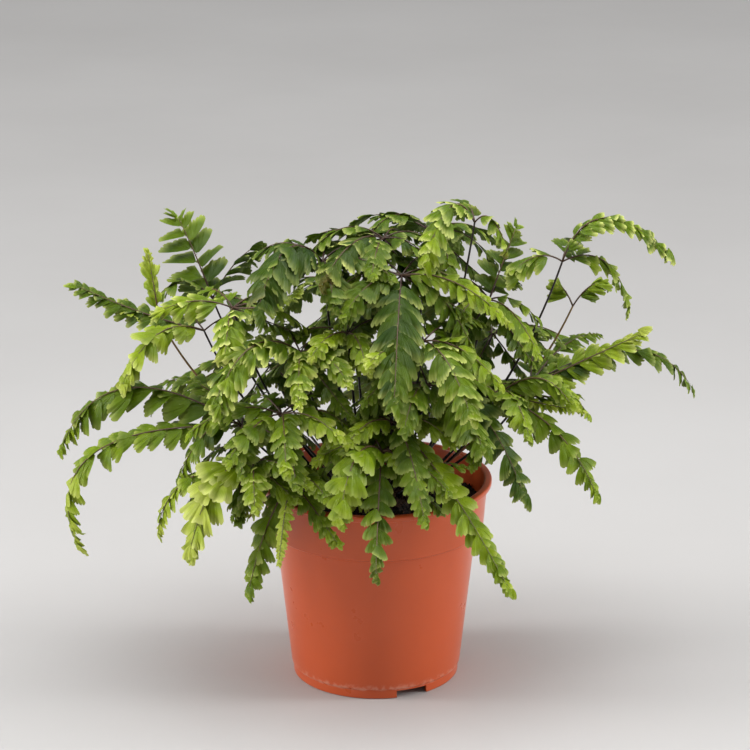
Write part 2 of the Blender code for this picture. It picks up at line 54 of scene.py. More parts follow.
# Pot
RIM_RADIUS = 60.0
POT_HEIGHT = 106.2
WALL = 1.4
LIP_HEIGHT = 2.8
LIP_UNDERCUT = 0.8
BAND_TOP_RADIUS = 57.6
BAND_FOOT_RADIUS = 55.8
BAND_FOOT_Z = 80.8
BODY_TOP_RADIUS = 52.2
BODY_TOP_Z = 79.4
RIDGE_RADIUS = 44.0
RIDGE_Z = 5.6
RIDGE_HEIGHT = 0.9
FOOT_RADIUS = 43.0
FOOT_FLARE = 0.1
FOOT_WIDTH = 2.0
FLOOR_Z = 5.4
NOTCH_COUNT = 4
NOTCH_WIDTH = 17.0
NOTCH_HEIGHT = 3.9
NOTCH_REACH = 16.0
NOTCH_TURN = 26.0
DRAIN_COUNT = 8
DRAIN_RADIUS = 4.0
DRAIN_CIRCLE = 31.0
DRAIN_LOW = FLOOR_Z - 2
DRAIN_HIGH = FLOOR_Z + 4
POT_SIDES = 192
DRAIN_SIDES = 32
FILLET_STEPS = 5
FILLET_SHARE = 0.45
SHARP_POT_ANGLE = 40
WELD = 0.001

# Root ball and crown
GAP = 0.35
SOIL_EDGE_Z = 93.0
SOIL_CROWN_Z = 94.5
SOIL_RINGS = 70
SOIL_SIDES = 260
SOIL_SINK = 0.9
MOUND_POWER = 3
HOLLOW_SIZE = 0.09
HOLLOW_HEIGHT = 1.6
HOLLOW_SEED = 3
CRUMB_SIZE = 0.32
CRUMB_HEIGHT = 1.5
CRUMB_SEED = 7
NOISE_STEPS = 4
SHARP_SOIL_ANGLE = 60
CRUMBS = 1500
CRUMB_SHAPES = 12
CRUMB_DENT = 0.22
CRUMB_STRETCH = (0.6, 1.3)
CRUMB_EDGE = 1.6
CRUMB_NEAREST = 0.05
CRUMB_SMALLEST = 0.35
CRUMB_GROWTH = 0.75
CRUMB_LIFT = 0.35
CRUMB_CLEARANCE = 0.5
FIBRES = 170
FIBRE_POINTS = 9
FIBRE_STEP = 0.9
FIBRE_BEND = 0.35
FIBRE_LIFT = 0.25
FIBRE_SWAY = 0.35
FIBRE_NEAREST = 0.1
FIBRE_EDGE = 3
FIBRE_RADII = (0.16, 0.06)
CROWN_RADIUS = 19.0
CROWN_TOP_Z = 99.0
CROWN_SHOULDER = 5.0
CROWN_DEPTH = 4
CROWN_FOOT_SHARE = 0.9
CROWN_RINGS = 40
CROWN_SIDES = 120
CROWN_BUMP_SIZE = 0.16
CROWN_BUMP_HEIGHT = 2.6
CROWN_SEED = 11
CROWN_SINK = 1.6
CROWN_LIP = 0.8
CROWN_LIP_DROP = 75
SCALES = 420
SCALE_RADII = (0.22, 0.26, 0.2, 0.12, 0.03)
SCALE_FOOT = 0.6
SCALE_MARGIN = 1
SCALE_LEANS = (-0.6, 1.2)
SCALE_SWAY = 0.5
SCALE_BOW = 0.4
SCALE_LENGTHS = (1.5, 4)
SCALE_TONES = (0.3, 0.9)
STUBS = 16
STUB_RADII = (0.95, 0.8)
STUB_FOOT = 1.5
STUB_POINTS = 6
STUB_MARGIN = 4
STUB_LEANS = (0.1, 0.5)
STUB_LENGTHS = (5, 13)
STUB_TONES = (0.05, 0.25)

# Stipes and fingers, as packed
STIPE_BASE_RADIUS = 0.8
STIPE_TOP_RADIUS = 0.5
STIPE_LEAN = 0.72
STIPE_REACH = 0.35
HUB_RADIUS = 2.2
RIB_THICKNESS = 1.2
FINGER_REACHES = (2, 4, 6, 9, 12, 16, 20, 25)
STIPE_REACHES = (4, 8, 12, 18, 24, 32)
FILLER_REACHES = (4, 8, 12, 16)
FINGER_PROBES = (0.3, 0.55, 0.8, 1.0)
STIPE_PROBES = (1 / 3, 1 / 2, 2 / 3, 1)
NUDGE_TURNS = 8
OUTWARD_TILT = 24
OPEN_FRONDS = (3, 4, 15, 16, 27, 28)
YOUNG_FRONDS = (27, 28)
FOOT_MARGIN = 3.0
FOOT_NEAREST = 4.0
FOOT_SPREAD = 0.13
FOOT_SWAY = 0.1
MOST_MISFIT = 4.5

# Stems and ribs, as seen
STEM_POINTS = 40
STEM_SIDES = 10
STEM_SINK = 2.5
STEM_ROOT_RADII = (1.1, 1.0, 0.95, 0.9)
STEM_RADIUS = 0.85
STEM_TAPER = 0.35
YOUNG_STEM_TONE = 0.75
OLD_STEM_TONE = 0.3
ARCH_POINTS = 60
RIB_EVERY = 3
RIB_POINTS = ARCH_POINTS // RIB_EVERY
RIB_RADII = (0.48, 0.14)
RIB_TONE = -0.2
RIB_TONE_FROM_LEAF = 0.7
RIB_TIP_TONE = 0.5
STALK_RADII = (0.17, 0.14, 0.12)
STALK_LENGTH = 0.25
STALK_SHARE = 0.045
STALK_ARCH = 0.15
STALK_OVERLAP = 0.3
STALKED_SIZE = 3

# A leaflet's shape: a fan of spokes from the stalk to the lobed margin, in shares of its length
LOBES = 6
LOBE_STEPS = 4
SPOKES = LOBES * LOBE_STEPS + 1
RINGS = (0.07, 0.40, 0.70, 0.88, 1.0)
ROUNDNESS = 2.8
FAN_START = 0.97
FAN_SPAN = 0.92
LOBE_SWAY = 0.022
NOTCH_SHARPNESS = 0.6
NOTCH_DEPTHS = (0.5, 1.3)
DEEP_NOTCH = 2.0
DEEP_NOTCH_CHANCE = 0.12
END_NOTCH = 0.05
SLANT_POWER = 1.5
EDGE_RISE = 0.13
EDGE_SAG = 0.07
LOBE_LIFT = 0.6
PLEAT = 0.008
LEAFLET_THICKNESS = 0.22
UV_SPARE = 0.06

# Leaflets along a finger
LEAFLET_SHARE = 1.42
WIDTH_SHARE = 0.70
PITCH_SHARE = 0.54
FIRST_LEAFLET = 4.0
FIRST_LEAFLET_SWAY = 2
LAST_GAP = 0.5
END_LEAFLET_SHARE = 1.3
START_SIZE = 0.7
START_GROWTH = 1.6
TAPER_START = 0.5
TAPER_POWER = 1.6
FORWARD = 24
FORWARD_AT_TIP = 22
ANGLE_SWAY = 7
PITCH_SWAY = 9
DROOP_LOSS = 0.75
END_FORWARD = pi / 2 - 0.2
END_DROOP = 10
WITHERED_FROM = 0.75
WITHERED_OVER = 0.15
WITHERED_WIDTH = 0.35
WITHERED_CURL = 1.6
TOOTH = 0.07
LEAST_RUFFLE = 0.012
MOST_RUFFLE = 0.08
TWIST_SWAY = 0.25
TONE_SWAY = 0.035
SPOT_CHANCE = 0.04
SPOT_BROWN = 0.25
# How much darker the lower ring of fillers is toned: painted shade under the blade
LOWER_FILLER_PAINTED_SHADE = 0.1

# The lowest and the highest value that chance gives to each leaflet
CHANCE = {
    "spacing": (0.9, 1.1),
    "length": (0.94, 1.06),
    "width": (0.92, 1.08),
    "slant": (0.05, 0.3),
    "tooth": (0.6, 1.3),
    "ruffle": (0.6, 1.2),
    "waves": (1.6, 2.8),
    "cup": (0.02, 0.16),
    "curl": (0.6, 1.4),
    "pale": (0.7, 1.2),
}

Finger = namedtuple("Finger", "tip rise lean roll half look")
Filler = namedtuple("Filler", "turn reach drop rise half")

UPPER_FILLER = Filler(turn=52, reach=37, drop=13, rise=7, half=8)
LOWER_FILLER = Filler(turn=80, reach=33, drop=27, rise=0, half=7)

PLAIN = {
    "tone": 0.4,      # leaf colour, from dark bluish green to lime
    "young": 0.25,    # how much the tone rises towards the tip
    "pale": 0.35,     # how light the margins are
    "ruffle": 0.25,   # how wavy the margins are
    "brown": 0.0,     # how withered the tip is
    "droop": 12.0,    # how far the leaflets fold down from the rachis, in degrees
    "curl": 35.0,     # how far a leaflet bends down along its length, in degrees
    "spread": 1.0,    # spacing of the leaflets
    "broad": 1.0,     # width of the leaflets
    "big": 1.0,       # length of the leaflets
    "last": 0.36,     # length of the leaflets at the tip, as a share of the full length
    "turn": 0.0,      # further roll of the leaflets about the rachis, in degrees
    "pitch": -7.0,    # how far each leaflet rolls about its own length, in degrees
}


def finger(x, y, z, rise=5, lean=0.5, roll=None, half=8, **look):
    """Tip, how high over its chord and how far along it the arch has its middle, roll, half width.

    A finger with no roll of its own leans out from the pot's axis.
    """
    return Finger(Vector((x, y, z)), rise, lean, roll, half, {**PLAIN, **look})


# Each frond: its hub, then its fingers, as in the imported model, with each finger's look.
FRONDS = (
    # left, long and arching
    ((-68, -18, 140), (
        finger(-161, -15, 127, rise=28, lean=0.62, roll=-32, half=11, tone=0.36, young=0.35,
               droop=34, ruffle=0.15, big=1.2, last=0.3),
        finger(-152, -38, 83, rise=42, lean=0.88, roll=-25, tone=0.5, young=0.4, spread=1.05,
               big=1.2, last=0.5),
        finger(-114, 22, 148, rise=12, tone=0.3),
        finger(-100, -40, 120, rise=12),
        finger(-94, -6, 160, rise=4, tone=0.35),
    )),
    # right, low: one arching out bright, one behind it to the far right
    ((79, 0, 156), (
        finger(164, 20, 148, rise=20, lean=0.6, roll=20, half=7, tone=0.3, young=0.1, spread=1.1,
               big=1.3, last=0.45),
        finger(135, 4, 182, rise=0, lean=0.6, roll=40, tone=0.6, young=0.4, pale=0.8, ruffle=0.8,
               big=1.15, last=0.5),
        finger(117, 42, 170, rise=8, half=7),
        finger(100, -34, 158, rise=9, tone=0.55),
        finger(84, 38, 172, rise=6, half=7, tone=0.3),
        finger(108, -18, 146, rise=8, half=7, tone=0.5),
    )),
    # top right, above its long bare stipe
    ((95, 10, 219), (
        finger(148, 10, 224, rise=21, lean=0.38, roll=25, half=7, tone=0.45, pale=0.9, ruffle=0.5,
               young=0.05, big=1.1, last=0.75),
        finger(71, 0, 218, roll=-20, tone=0.42, pale=0.7, ruffle=0.5, big=1.15, last=0.7),
        finger(130, 20, 194, rise=14, lean=0.6, roll=15, half=7, tone=0.48, ruffle=0.9, pale=0.6,
               big=1.25, last=0.7),
        finger(104, 48, 218, rise=6, half=7, tone=0.35),
    )),
    # top, two fingers parting over the stipe
    ((50, 5, 241), (
        finger(25, -22, 229, rise=18, roll=-10, half=10, tone=0.5, pale=0.8, broad=0.8, spread=0.85,
               last=0.6),
        finger(67, -4, 227, rise=10, half=7, tone=0.5, pale=0.7, brown=0.8),
        finger(44, 38, 236, rise=8, tone=0.35),
    )),
    # middle: the broad one that droops towards the front
    ((13, -15, 219), (
        finger(9, -78, 172, rise=8, lean=0.45, half=14, tone=0.2, pale=0.5, young=0.3, droop=26,
               ruffle=0.2, broad=0.68, spread=0.72),
        finger(67, -30, 198, rise=9, roll=25, half=7, tone=0.65, pale=0.5),
        finger(49, -26, 184, rise=10),
        finger(36, 34, 214, rise=7, tone=0.3),
        finger(-16, 24, 216, rise=7, tone=0.3),
    )),
    # upper left, broad and dark
    ((-27, 0, 222), (
        finger(-58, -50, 212, rise=20, lean=0.55, roll=-8, half=12, tone=0.15, pale=0.25, young=0.1,
               droop=38, ruffle=0.1, broad=0.68, spread=0.7, big=1.1, last=0.5),
        finger(-64, 26, 216, rise=9, half=9, tone=0.2),
        finger(-22, 46, 214, rise=8, half=9, tone=0.25),
        finger(8, -28, 222, rise=6, half=7, tone=0.2),
    )),
    # left of the middle, with bright crisp margins
    ((-38, -20, 180), (
        finger(-79, -70, 170, rise=18, lean=0.55, roll=-12, half=13, tone=0.42, pale=1.0, ruffle=1.0,
               broad=0.8, spread=0.8, last=0.5),
        finger(-72, -16, 176, rise=7, tone=0.45, pale=0.8, ruffle=0.8),
        finger(-14, -56, 176, rise=7, tone=0.5, pale=0.9, ruffle=0.8),
        finger(-56, 20, 180, rise=7),
        finger(-38, -70, 170, rise=8, tone=0.5, pale=0.8, ruffle=0.8),
    )),
    # upper left bow
    ((-72, -15, 202), (
        finger(-106, -20, 203, rise=4, roll=-25, tone=0.55, pale=0.9, ruffle=1.0, big=1.2, last=0.6),
        finger(-76, -50, 186, rise=6, half=9, tone=0.5, pale=1.0, ruffle=1.0, last=0.6),
        finger(-40, -36, 218, rise=-4, lean=0.6, roll=20, half=7, tone=0.6, pale=0.9, ruffle=1.0,
               big=1.1, last=0.7),
        finger(-90, 26, 198, tone=0.5),
        finger(-46, 20, 196, half=7, tone=0.5),
    )),
    # front, long and bright, over the rim to the right
    ((9, -30, 146), (
        finger(66, -92, 80, rise=8, lean=0.48, roll=20, half=9, tone=0.7, young=0.0, pale=0.45,
               broad=1.15),
        finger(24, -86, 114, rise=11, tone=0.35),
        finger(38, -50, 142, rise=7, tone=0.6),
        finger(-14, -62, 146, rise=6, half=7, tone=0.6),
        finger(38, 6, 146, rise=6),
    )),
    # front, over the rim in the middle
    ((3, -44, 136), (
        finger(-18, -86, 114, rise=19, lean=0.6, roll=-12, half=11, tone=0.55, young=0.3, broad=1.1),
        finger(0, -96, 88, rise=8, lean=0.6, tone=0.42, young=0.05, brown=0.35, spread=1.3),
        finger(24, -74, 128, rise=7, half=6, tone=0.6),
        finger(-30, -60, 136, rise=6, half=7, tone=0.6),
        finger(36, -66, 122, half=7),
    )),
    # front left, over the rim
    ((-42, -45, 120), (
        finger(-64, -70, 69, rise=10, lean=0.55, roll=-10, half=9, tone=0.5, young=0.15, spread=1.1,
               broad=1.1),
        finger(-48, -82, 90, rise=7, half=4, tone=0.85),
        finger(-24, -72, 120, rise=6, half=6, tone=0.55),
        finger(-72, -50, 104, rise=8, half=7, tone=0.5),
    )),
    # left, low and yellow-green
    ((-62, -38, 128), (
        finger(-93, -66, 90, rise=17, lean=0.58, roll=-15, half=10, tone=0.8, pale=1.0, ruffle=0.6,
               broad=1.3, droop=3, curl=15, spread=1.15, big=1.2),
        finger(-110, -46, 92, rise=17, lean=0.72, roll=-15, tone=0.65, young=0.35, pale=0.7),
        finger(-88, -14, 120, rise=8, half=7, tone=0.5),
        finger(-60, -74, 116, rise=6, half=7, tone=0.6, pale=0.8),
        finger(-34, -66, 126, half=7, tone=0.6),
    )),
    # right, low and dark
    ((26, -24, 164), (
        finger(53, -68, 146, rise=9, roll=10, half=12, tone=0.42, young=0.1, broad=0.72, spread=0.75,
               last=0.5),
        finger(74, -60, 118, rise=17, lean=0.55, roll=20, half=10, tone=0.15, young=0.1, big=1.1,
               broad=0.85, last=0.5),
        finger(58, 4, 166, rise=6, tone=0.35),
        finger(6, -64, 156, rise=8, half=9),
        finger(66, -28, 156, rise=9, tone=0.45),
        finger(14, 16, 168, rise=6, tone=0.3),
    )),
    # right, low, with hanging leaflets
    ((62, -16, 156), (
        finger(111, -46, 113, rise=12, lean=0.6, roll=20, tone=0.5, spread=1.15, young=0.2, big=1.2),
        finger(98, -38, 158, rise=12, lean=0.55, roll=35, tone=0.5, droop=40),
        finger(105, -24, 150, rise=0, roll=20, half=4, tone=0.75, pale=0.6),
        finger(72, -58, 144, rise=8, tone=0.5),
        finger(88, 14, 150, rise=6),
    )),
    # left, pointing out
    ((-88, 10, 182), (
        finger(-154, 24, 202, rise=-2, roll=-30, half=7, tone=0.3, young=0.2, pale=0.6, ruffle=0.6,
               big=1.15, last=0.5),
        finger(-128, -18, 163, rise=14, lean=0.55, roll=-25, tone=0.7, pale=0.7, big=1.15, last=0.5),
        finger(-60, 26, 184, half=6),
        finger(-108, 48, 172, rise=7, half=7, tone=0.35),
    )),
    # back left, upright
    ((-86, 60, 184), (
        finger(-104, 64, 228, rise=2, half=9, tone=0.3, spread=0.75, big=1.5, broad=0.72, turn=-65,
               pitch=-52),
        finger(-114, 42, 190, rise=9, half=7, big=1.3),
        finger(-62, 76, 208, half=7, tone=0.3, big=1.4, spread=0.9, turn=-30, pitch=-35),
        finger(-100, 86, 176, rise=9, tone=0.3, big=1.2),
        finger(-60, 36, 182, half=7, tone=0.3, big=1.2),
    )),
    # left of the middle, low
    ((-47, -40, 154), (
        finger(-93, -52, 148, rise=8, roll=-15, tone=0.45),
        finger(-72, -76, 143, rise=6, roll=-8, half=9, tone=0.45),
        finger(-18, -66, 151, roll=10, tone=0.6, pale=0.7),
        finger(-44, -84, 140, rise=8, tone=0.5),
        finger(-68, -4, 150, rise=6, tone=0.35),
        finger(-24, -6, 154, rise=6, tone=0.35),
    )),
    # top middle, one finger with a browned tip
    ((4, 10, 231), (
        finger(-28, -28, 217, rise=9, roll=-10, half=10, tone=0.26, pale=0.9, brown=1.0, young=0.1,
               broad=0.75, spread=0.8, last=0.5),
        finger(30, 20, 226, half=7, tone=0.3),
        finger(-34, 36, 224, tone=0.3),
        finger(14, 44, 222, tone=0.3),
        finger(-2, -30, 224, half=7, tone=0.35),
    )),
    # right of the middle, broad
    ((24, -32, 190), (
        finger(46, -78, 168, rise=8, roll=8, half=11, tone=0.38, pale=0.7, broad=0.75, spread=0.8,
               last=0.5),
        finger(62, -48, 172, rise=7, roll=15, tone=0.55),
        finger(0, -62, 188, half=7, tone=0.6, pale=0.7),
        finger(54, 0, 190, rise=6),
        finger(12, 6, 184, rise=6, half=7, tone=0.3),
    )),
    # middle, small
    ((-14, -14, 188), (
        finger(-32, -46, 186, roll=-8, half=7, tone=0.7, pale=0.7, ruffle=0.6),
        finger(-4, -50, 180, rise=6, half=7, tone=0.65, pale=0.6),
        finger(-36, 20, 190, half=7),
        finger(20, 6, 188, half=7),
    )),
    # top back
    ((28, 45, 225), (
        finger(-10, 54, 228, rise=6, half=9, tone=0.3),
        finger(44, 96, 200, rise=10, half=9, tone=0.3),
        finger(64, 70, 212, rise=7, tone=0.35),
        finger(8, 92, 204, rise=9, tone=0.3),
    )),
    # right of the top, feathery
    ((58, 15, 197), (
        finger(72, 28, 232, rise=0, half=7, tone=0.35, big=1.3, turn=45, pitch=-45),
        finger(84, 4, 188, rise=6, half=7, tone=0.45, spread=1.2),
        finger(74, 54, 194, rise=7, tone=0.35),
        finger(38, 50, 196, rise=6, half=7, tone=0.35),
        finger(82, -24, 180, rise=7, tone=0.5),
        finger(36, -14, 190, half=7, tone=0.5),
    )),
    # back middle
    ((-12, 62, 186), (
        finger(-6, 98, 150, rise=15, lean=0.6, half=10, tone=0.3),
        finger(-52, 92, 164, rise=12, half=9, tone=0.35),
        finger(30, 96, 164, rise=12, half=9, tone=0.3),
        finger(-46, 48, 196, rise=6, tone=0.3),
        finger(18, 28, 196, rise=6, tone=0.3),
        finger(-28, 20, 180, rise=6, tone=0.3),
    )),
    # back right
    ((62, 62, 164), (
        finger(92, 94, 130, rise=14, lean=0.6, half=9),
        finger(116, 62, 146, rise=12, half=9, tone=0.35),
        finger(54, 98, 136, rise=12),
        finger(84, 26, 172, rise=6, half=7, tone=0.35),
        finger(34, 30, 168, rise=7, tone=0.3),
        finger(100, 40, 150, rise=8, tone=0.35),
    )),
    # back left, low
    ((-56, 62, 146), (
        finger(-84, 94, 108, rise=15, lean=0.6, half=9, tone=0.45),
        finger(-118, 64, 122, rise=14, half=9),
        finger(-40, 98, 110, rise=12, lean=0.6, tone=0.45),
        finger(-106, 34, 130, rise=10, tone=0.35),
        finger(-36, 26, 158, rise=6, tone=0.3),
        finger(-76, 26, 146, rise=6, tone=0.3),
    )),
    # back, low
    ((10, 62, 138), (
        finger(12, 98, 92, rise=14, lean=0.65, half=9, tone=0.45),
        finger(56, 92, 98, rise=14, lean=0.6, tone=0.5),
        finger(-30, 96, 98, rise=12, lean=0.6),
        finger(52, 44, 130, rise=9),
        finger(-26, 38, 136, rise=6, tone=0.3),
        finger(24, 22, 144, rise=6, tone=0.3),
    )),
    # young shoot, upper left
    ((-112, 25, 184), (
        finger(-117, 26, 219, rise=1, half=4, tone=0.8, ruffle=1.0, young=0.2, curl=80, droop=30,
               big=1.6, turn=-60),
        finger(-125, 14, 196, rise=3, half=4, tone=0.75, ruffle=0.6, curl=50, big=1.5),
    )),
    # young shoot, upper right
    ((102, 30, 189), (
        finger(119, 36, 200, rise=4, half=4, tone=0.6, ruffle=1.0, curl=80, droop=30, big=2.0,
               spread=0.8),
        finger(94, 26, 202, rise=2, half=4, tone=0.55, ruffle=1.0, curl=80, droop=20, big=2.0,
               spread=0.8, turn=-50),
    )),
)




# ---------------------------------------------------------------- meshes from arrays

def array_piece(name, points, faces, finish):
    """A mesh object from points in mm and an array of same-sized faces."""
    mesh = bpy.data.meshes.new(name)
    corners = faces.shape[1]
    mesh.vertices.add(len(points))
    mesh.vertices.foreach_set("co", (np.asarray(points) * MM).ravel())
    mesh.loops.add(faces.size)
    mesh.loops.foreach_set("vertex_index", faces.ravel().astype(np.int32))
    mesh.polygons.add(len(faces))
    mesh.polygons.foreach_set("loop_start", np.arange(0, faces.size, corners, dtype=np.int32))
    mesh.update(calc_edges=True)
    mesh.materials.append(finish)
    mesh.shade_smooth()
    piece = bpy.data.objects.new(name, mesh)
    bpy.context.scene.collection.objects.link(piece)
    return piece


def store(piece, name, kind, domain, values):
    """An attribute of the piece's mesh that its material reads."""
    layer = piece.data.attributes.new(name, kind, domain)
    field = "vector" if kind == "FLOAT_VECTOR" else "value"
    layer.data.foreach_set(field, np.asarray(values, dtype=np.float32).ravel())


def sharpen(piece, edge_ends):
    """Marks sharp every edge whose two ends are both flagged."""
    mesh = piece.data
    ends = np.empty(len(mesh.edges) * 2, np.int32)
    mesh.edges.foreach_get("vertices", ends)
    sharp = edge_ends[ends.reshape(-1, 2)].all(axis=1)
    layer = mesh.attributes.new("sharp_edge", "BOOLEAN", "EDGE")
    layer.data.foreach_set("value", sharp)


def unit(vectors):
    return vectors / np.linalg.norm(vectors, axis=-1, keepdims=True)


class Tubes:
    """Closed tubes with the same number of sides, gathered into one mesh."""

    GUIDE = np.array((0.31, 0.53, 0.79))   # no tube runs along this direction

    def __init__(self, sides):
        self.sides = sides
        self.points = []
        self.faces = []
        self.tones = []
        self.count = 0

    def add(self, path, radii, tones):
        """One tube along path, (rings, 3), closed with flat caps at both ends."""
        rings = len(path)
        sides = self.sides
        ahead = unit(np.gradient(path, axis=0))
        across = unit(np.cross(ahead, self.GUIDE))
        other = np.cross(ahead, across)
        angles = np.linspace(0, 2 * pi, sides, endpoint=False)[None, :, None]
        spokes = across[:, None] * np.cos(angles) + other[:, None] * np.sin(angles)
        ring_points = path[:, None] + spokes * np.asarray(radii)[:, None, None]
        self.points.append(np.concatenate((ring_points.reshape(-1, 3), path[[0, -1]])))
        side = np.arange(sides)
        following = (side + 1) % sides
        ring_start = np.arange(rings - 1)[:, None] * sides
        near = ring_start + side[None]
        turned_on = ring_start + following[None]
        quads = np.stack((near, turned_on, turned_on + sides, near + sides), axis=-1).reshape(-1, 4)
        last = (rings - 1) * sides
        first_end = np.full_like(side, rings * sides)
        first_cap = np.stack((following, side, first_end), axis=-1)
        last_cap = np.stack((last + side, last + following, first_end + 1), axis=-1)
        caps = np.concatenate((first_cap, last_cap))
        self.faces.append((quads + self.count, caps + self.count))
        tones = np.broadcast_to(np.asarray(tones, float), (rings,))
        self.tones.append(np.concatenate((np.repeat(tones, sides), tones[[0, -1]])))
        self.count += rings * sides + 2

    def piece(self, name, finish):
        points = np.concatenate(self.points)
        quads = np.concatenate([pair[0] for pair in self.faces])
        caps = np.concatenate([pair[1] for pair in self.faces])
        triangles = np.concatenate((quads[:, (0, 1, 2)], quads[:, (0, 2, 3)], caps))
        made = array_piece(name, points, triangles, finish)
        store(made, "tone", "FLOAT", "POINT", np.concatenate(self.tones))
        return made


# ---------------------------------------------------------------- arches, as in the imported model

def on_arch(start, control, end, t):
    return start * (1 - t) ** 2 + control * (2 * t * (1 - t)) + end * t**2


def along_arch(start, control, end, t):
    return ((control - start) * (1 - t) + (end - control) * t).normalized()


def arch_points(start, control, end, count):
    """Points along an arch, (count, 3), and the share of the way that each is at."""
    t = np.linspace(0, 1, count)
    return on_arch(*(np.array(point) for point in (start, control, end)), t[:, None]), t


def nudges(reaches):
    """Offsets (sideways, up, extra rise) that a finger or a stipe may have been built at."""
    yield 0, 0, 0
    for reach in reaches:
        for turn in range(NUDGE_TURNS):
            angle = 2 * pi * turn / NUDGE_TURNS
            for bow in (0, reach / 3, -reach / 3):
                yield reach * cos(angle), reach * sin(angle), bow


def fillers(hub, plans, kind, tone):
    """Short fingers in the widest gaps round a hub, as many as bring its fingers close together."""
    turns = sorted(atan2(plan.tip.y - hub.y, plan.tip.x - hub.x) for plan in plans)
    for turn, following in zip(turns, turns[1:] + [turns[0] + 2 * pi]):
        spaces = max(1, round((following - turn) / radians(kind.turn)))
        for index in range(1, spaces):
            angle = turn + (following - turn) * index / spaces
            ahead = Vector((cos(angle), sin(angle), 0))
            tip = hub + ahead * kind.reach - UP * kind.drop
            yield finger(*tip, rise=kind.rise, half=kind.half, tone=tone)


def all_fillers(hub, plans):
    """The fingers that close the gaps in the blade, and a ring of drooping ones below them, toned darker
    as painted shade under the blade.
    """
    tone = sum(plan.look["tone"] for plan in plans) / len(plans)
    yield from fillers(hub, plans, UPPER_FILLER, tone)
    # The lower ring's tone is lowered: painted shade under the blade
    yield from fillers(hub, plans[:1], LOWER_FILLER, tone - LOWER_FILLER_PAINTED_SHADE)


def roll_of(hub, plan, side):
    if plan.roll is not None:
        return radians(plan.roll)
    middle = (hub + plan.tip) / 2
    return -radians(OUTWARD_TILT) * side.dot(Vector((middle.x, middle.y, 0)).normalized())


def arch_of(hub, plan, nudge):
    """Control point, tip and sideways direction of a finger."""
    chord = plan.tip - hub
    side = Vector((-chord.y, chord.x, 0)).normalized()
    tip = plan.tip + side * nudge[0] + UP * nudge[1]
    middle = hub.lerp(tip, plan.lean) + UP * (plan.rise + nudge[2])
    return 2 * middle - (hub + tip) / 2, tip, side


def crown_top(radius):
    return CROWN_TOP_Z - CROWN_SHOULDER * (radius / CROWN_RADIUS) ** 2


def stipe_arch(hub, nudge):
    """Foot, control point and head of a stipe."""
    level = Vector((hub.x, hub.y, 0))
    outward = level.normalized()
    side = Vector((-outward.y, outward.x, 0))
    foot_radius = min(CROWN_RADIUS - FOOT_MARGIN, FOOT_NEAREST + level.length * FOOT_SPREAD)
    foot = outward * foot_radius + side * (nudge[0] * FOOT_SWAY)
    foot.z = crown_top(foot.length) + 2 * GAP
    control = level * STIPE_LEAN + side * nudge[0] + outward * nudge[1]
    control.z = foot.z + (hub.z - foot.z) * STIPE_REACH
    head = hub - (hub - control).normalized() * (HUB_RADIUS + GAP)
    return foot, control, head


def packed_points(node):
    """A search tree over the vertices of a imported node, in mm."""
    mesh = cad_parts[node].data
    tree = KDTree(len(mesh.vertices))
    for index, vertex in enumerate(mesh.vertices):
        tree.insert(vertex.co / MM, index)
    tree.balance()
    return tree


def misfit(tree, probes):
    """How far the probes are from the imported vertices, each counted up to 1 mm."""
    return sum(min(1, tree.find(probe)[2]) for probe in probes)


def across_rib(side, ahead, roll):
    """The left and the top direction of a finger that is rolled about its rachis."""
    lifted = ahead.cross(side)
    return side * cos(roll) + lifted * sin(roll), lifted * cos(roll) - side * sin(roll)


def finger_probes(hub, plan, nudge):
    """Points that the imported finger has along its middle."""
    control, tip, side = arch_of(hub, plan, nudge)
    roll = roll_of(hub, plan, side)
    probes = []
    for t in FINGER_PROBES:
        _, top = across_rib(side, along_arch(hub, control, tip, t), roll)
        place = on_arch(hub, control, tip, t)
        probes += [place + top * (RIB_THICKNESS / 2), place - top * (RIB_THICKNESS / 2)]
    return probes


def stipe_probes(hub, nudge):
    foot, control, head = stipe_arch(hub, nudge)
    probes = []
    for t in STIPE_PROBES:
        ahead = along_arch(foot, control, head, t)
        across = ahead.cross(Vector((1, 0, 0))).normalized()
        radius = STIPE_BASE_RADIUS + (STIPE_TOP_RADIUS - STIPE_BASE_RADIUS) * t
        probes.append(on_arch(foot, control, head, t) + across * radius)
    return probes


def best_nudge(reaches, probes_at, tree):
    """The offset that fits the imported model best, the first of equals, and its misfit."""
    fits = [(misfit(tree, probes_at(nudge)), index, nudge) for index, nudge in enumerate(nudges(reaches))]
    least, _, nudge = min(fits)
    return nudge, least


# ---------------------------------------------------------------- leaflets

def each(values):
    """One value per leaflet, ready to multiply a grid."""
    return np.asarray(values, float)[:, None, None]


def notch_depths(tooth, rng):
    """How deep each notch of each leaflet cuts, as a share of its spoke."""
    shape = (len(tooth), LOBES + 1)
    depth = rng.uniform(*NOTCH_DEPTHS, shape)
    depth = np.where(rng.random(shape) < DEEP_NOTCH_CHANCE, DEEP_NOTCH, depth) * tooth[:, None]
    depth[:, (0, -1)] = END_NOTCH
    return depth


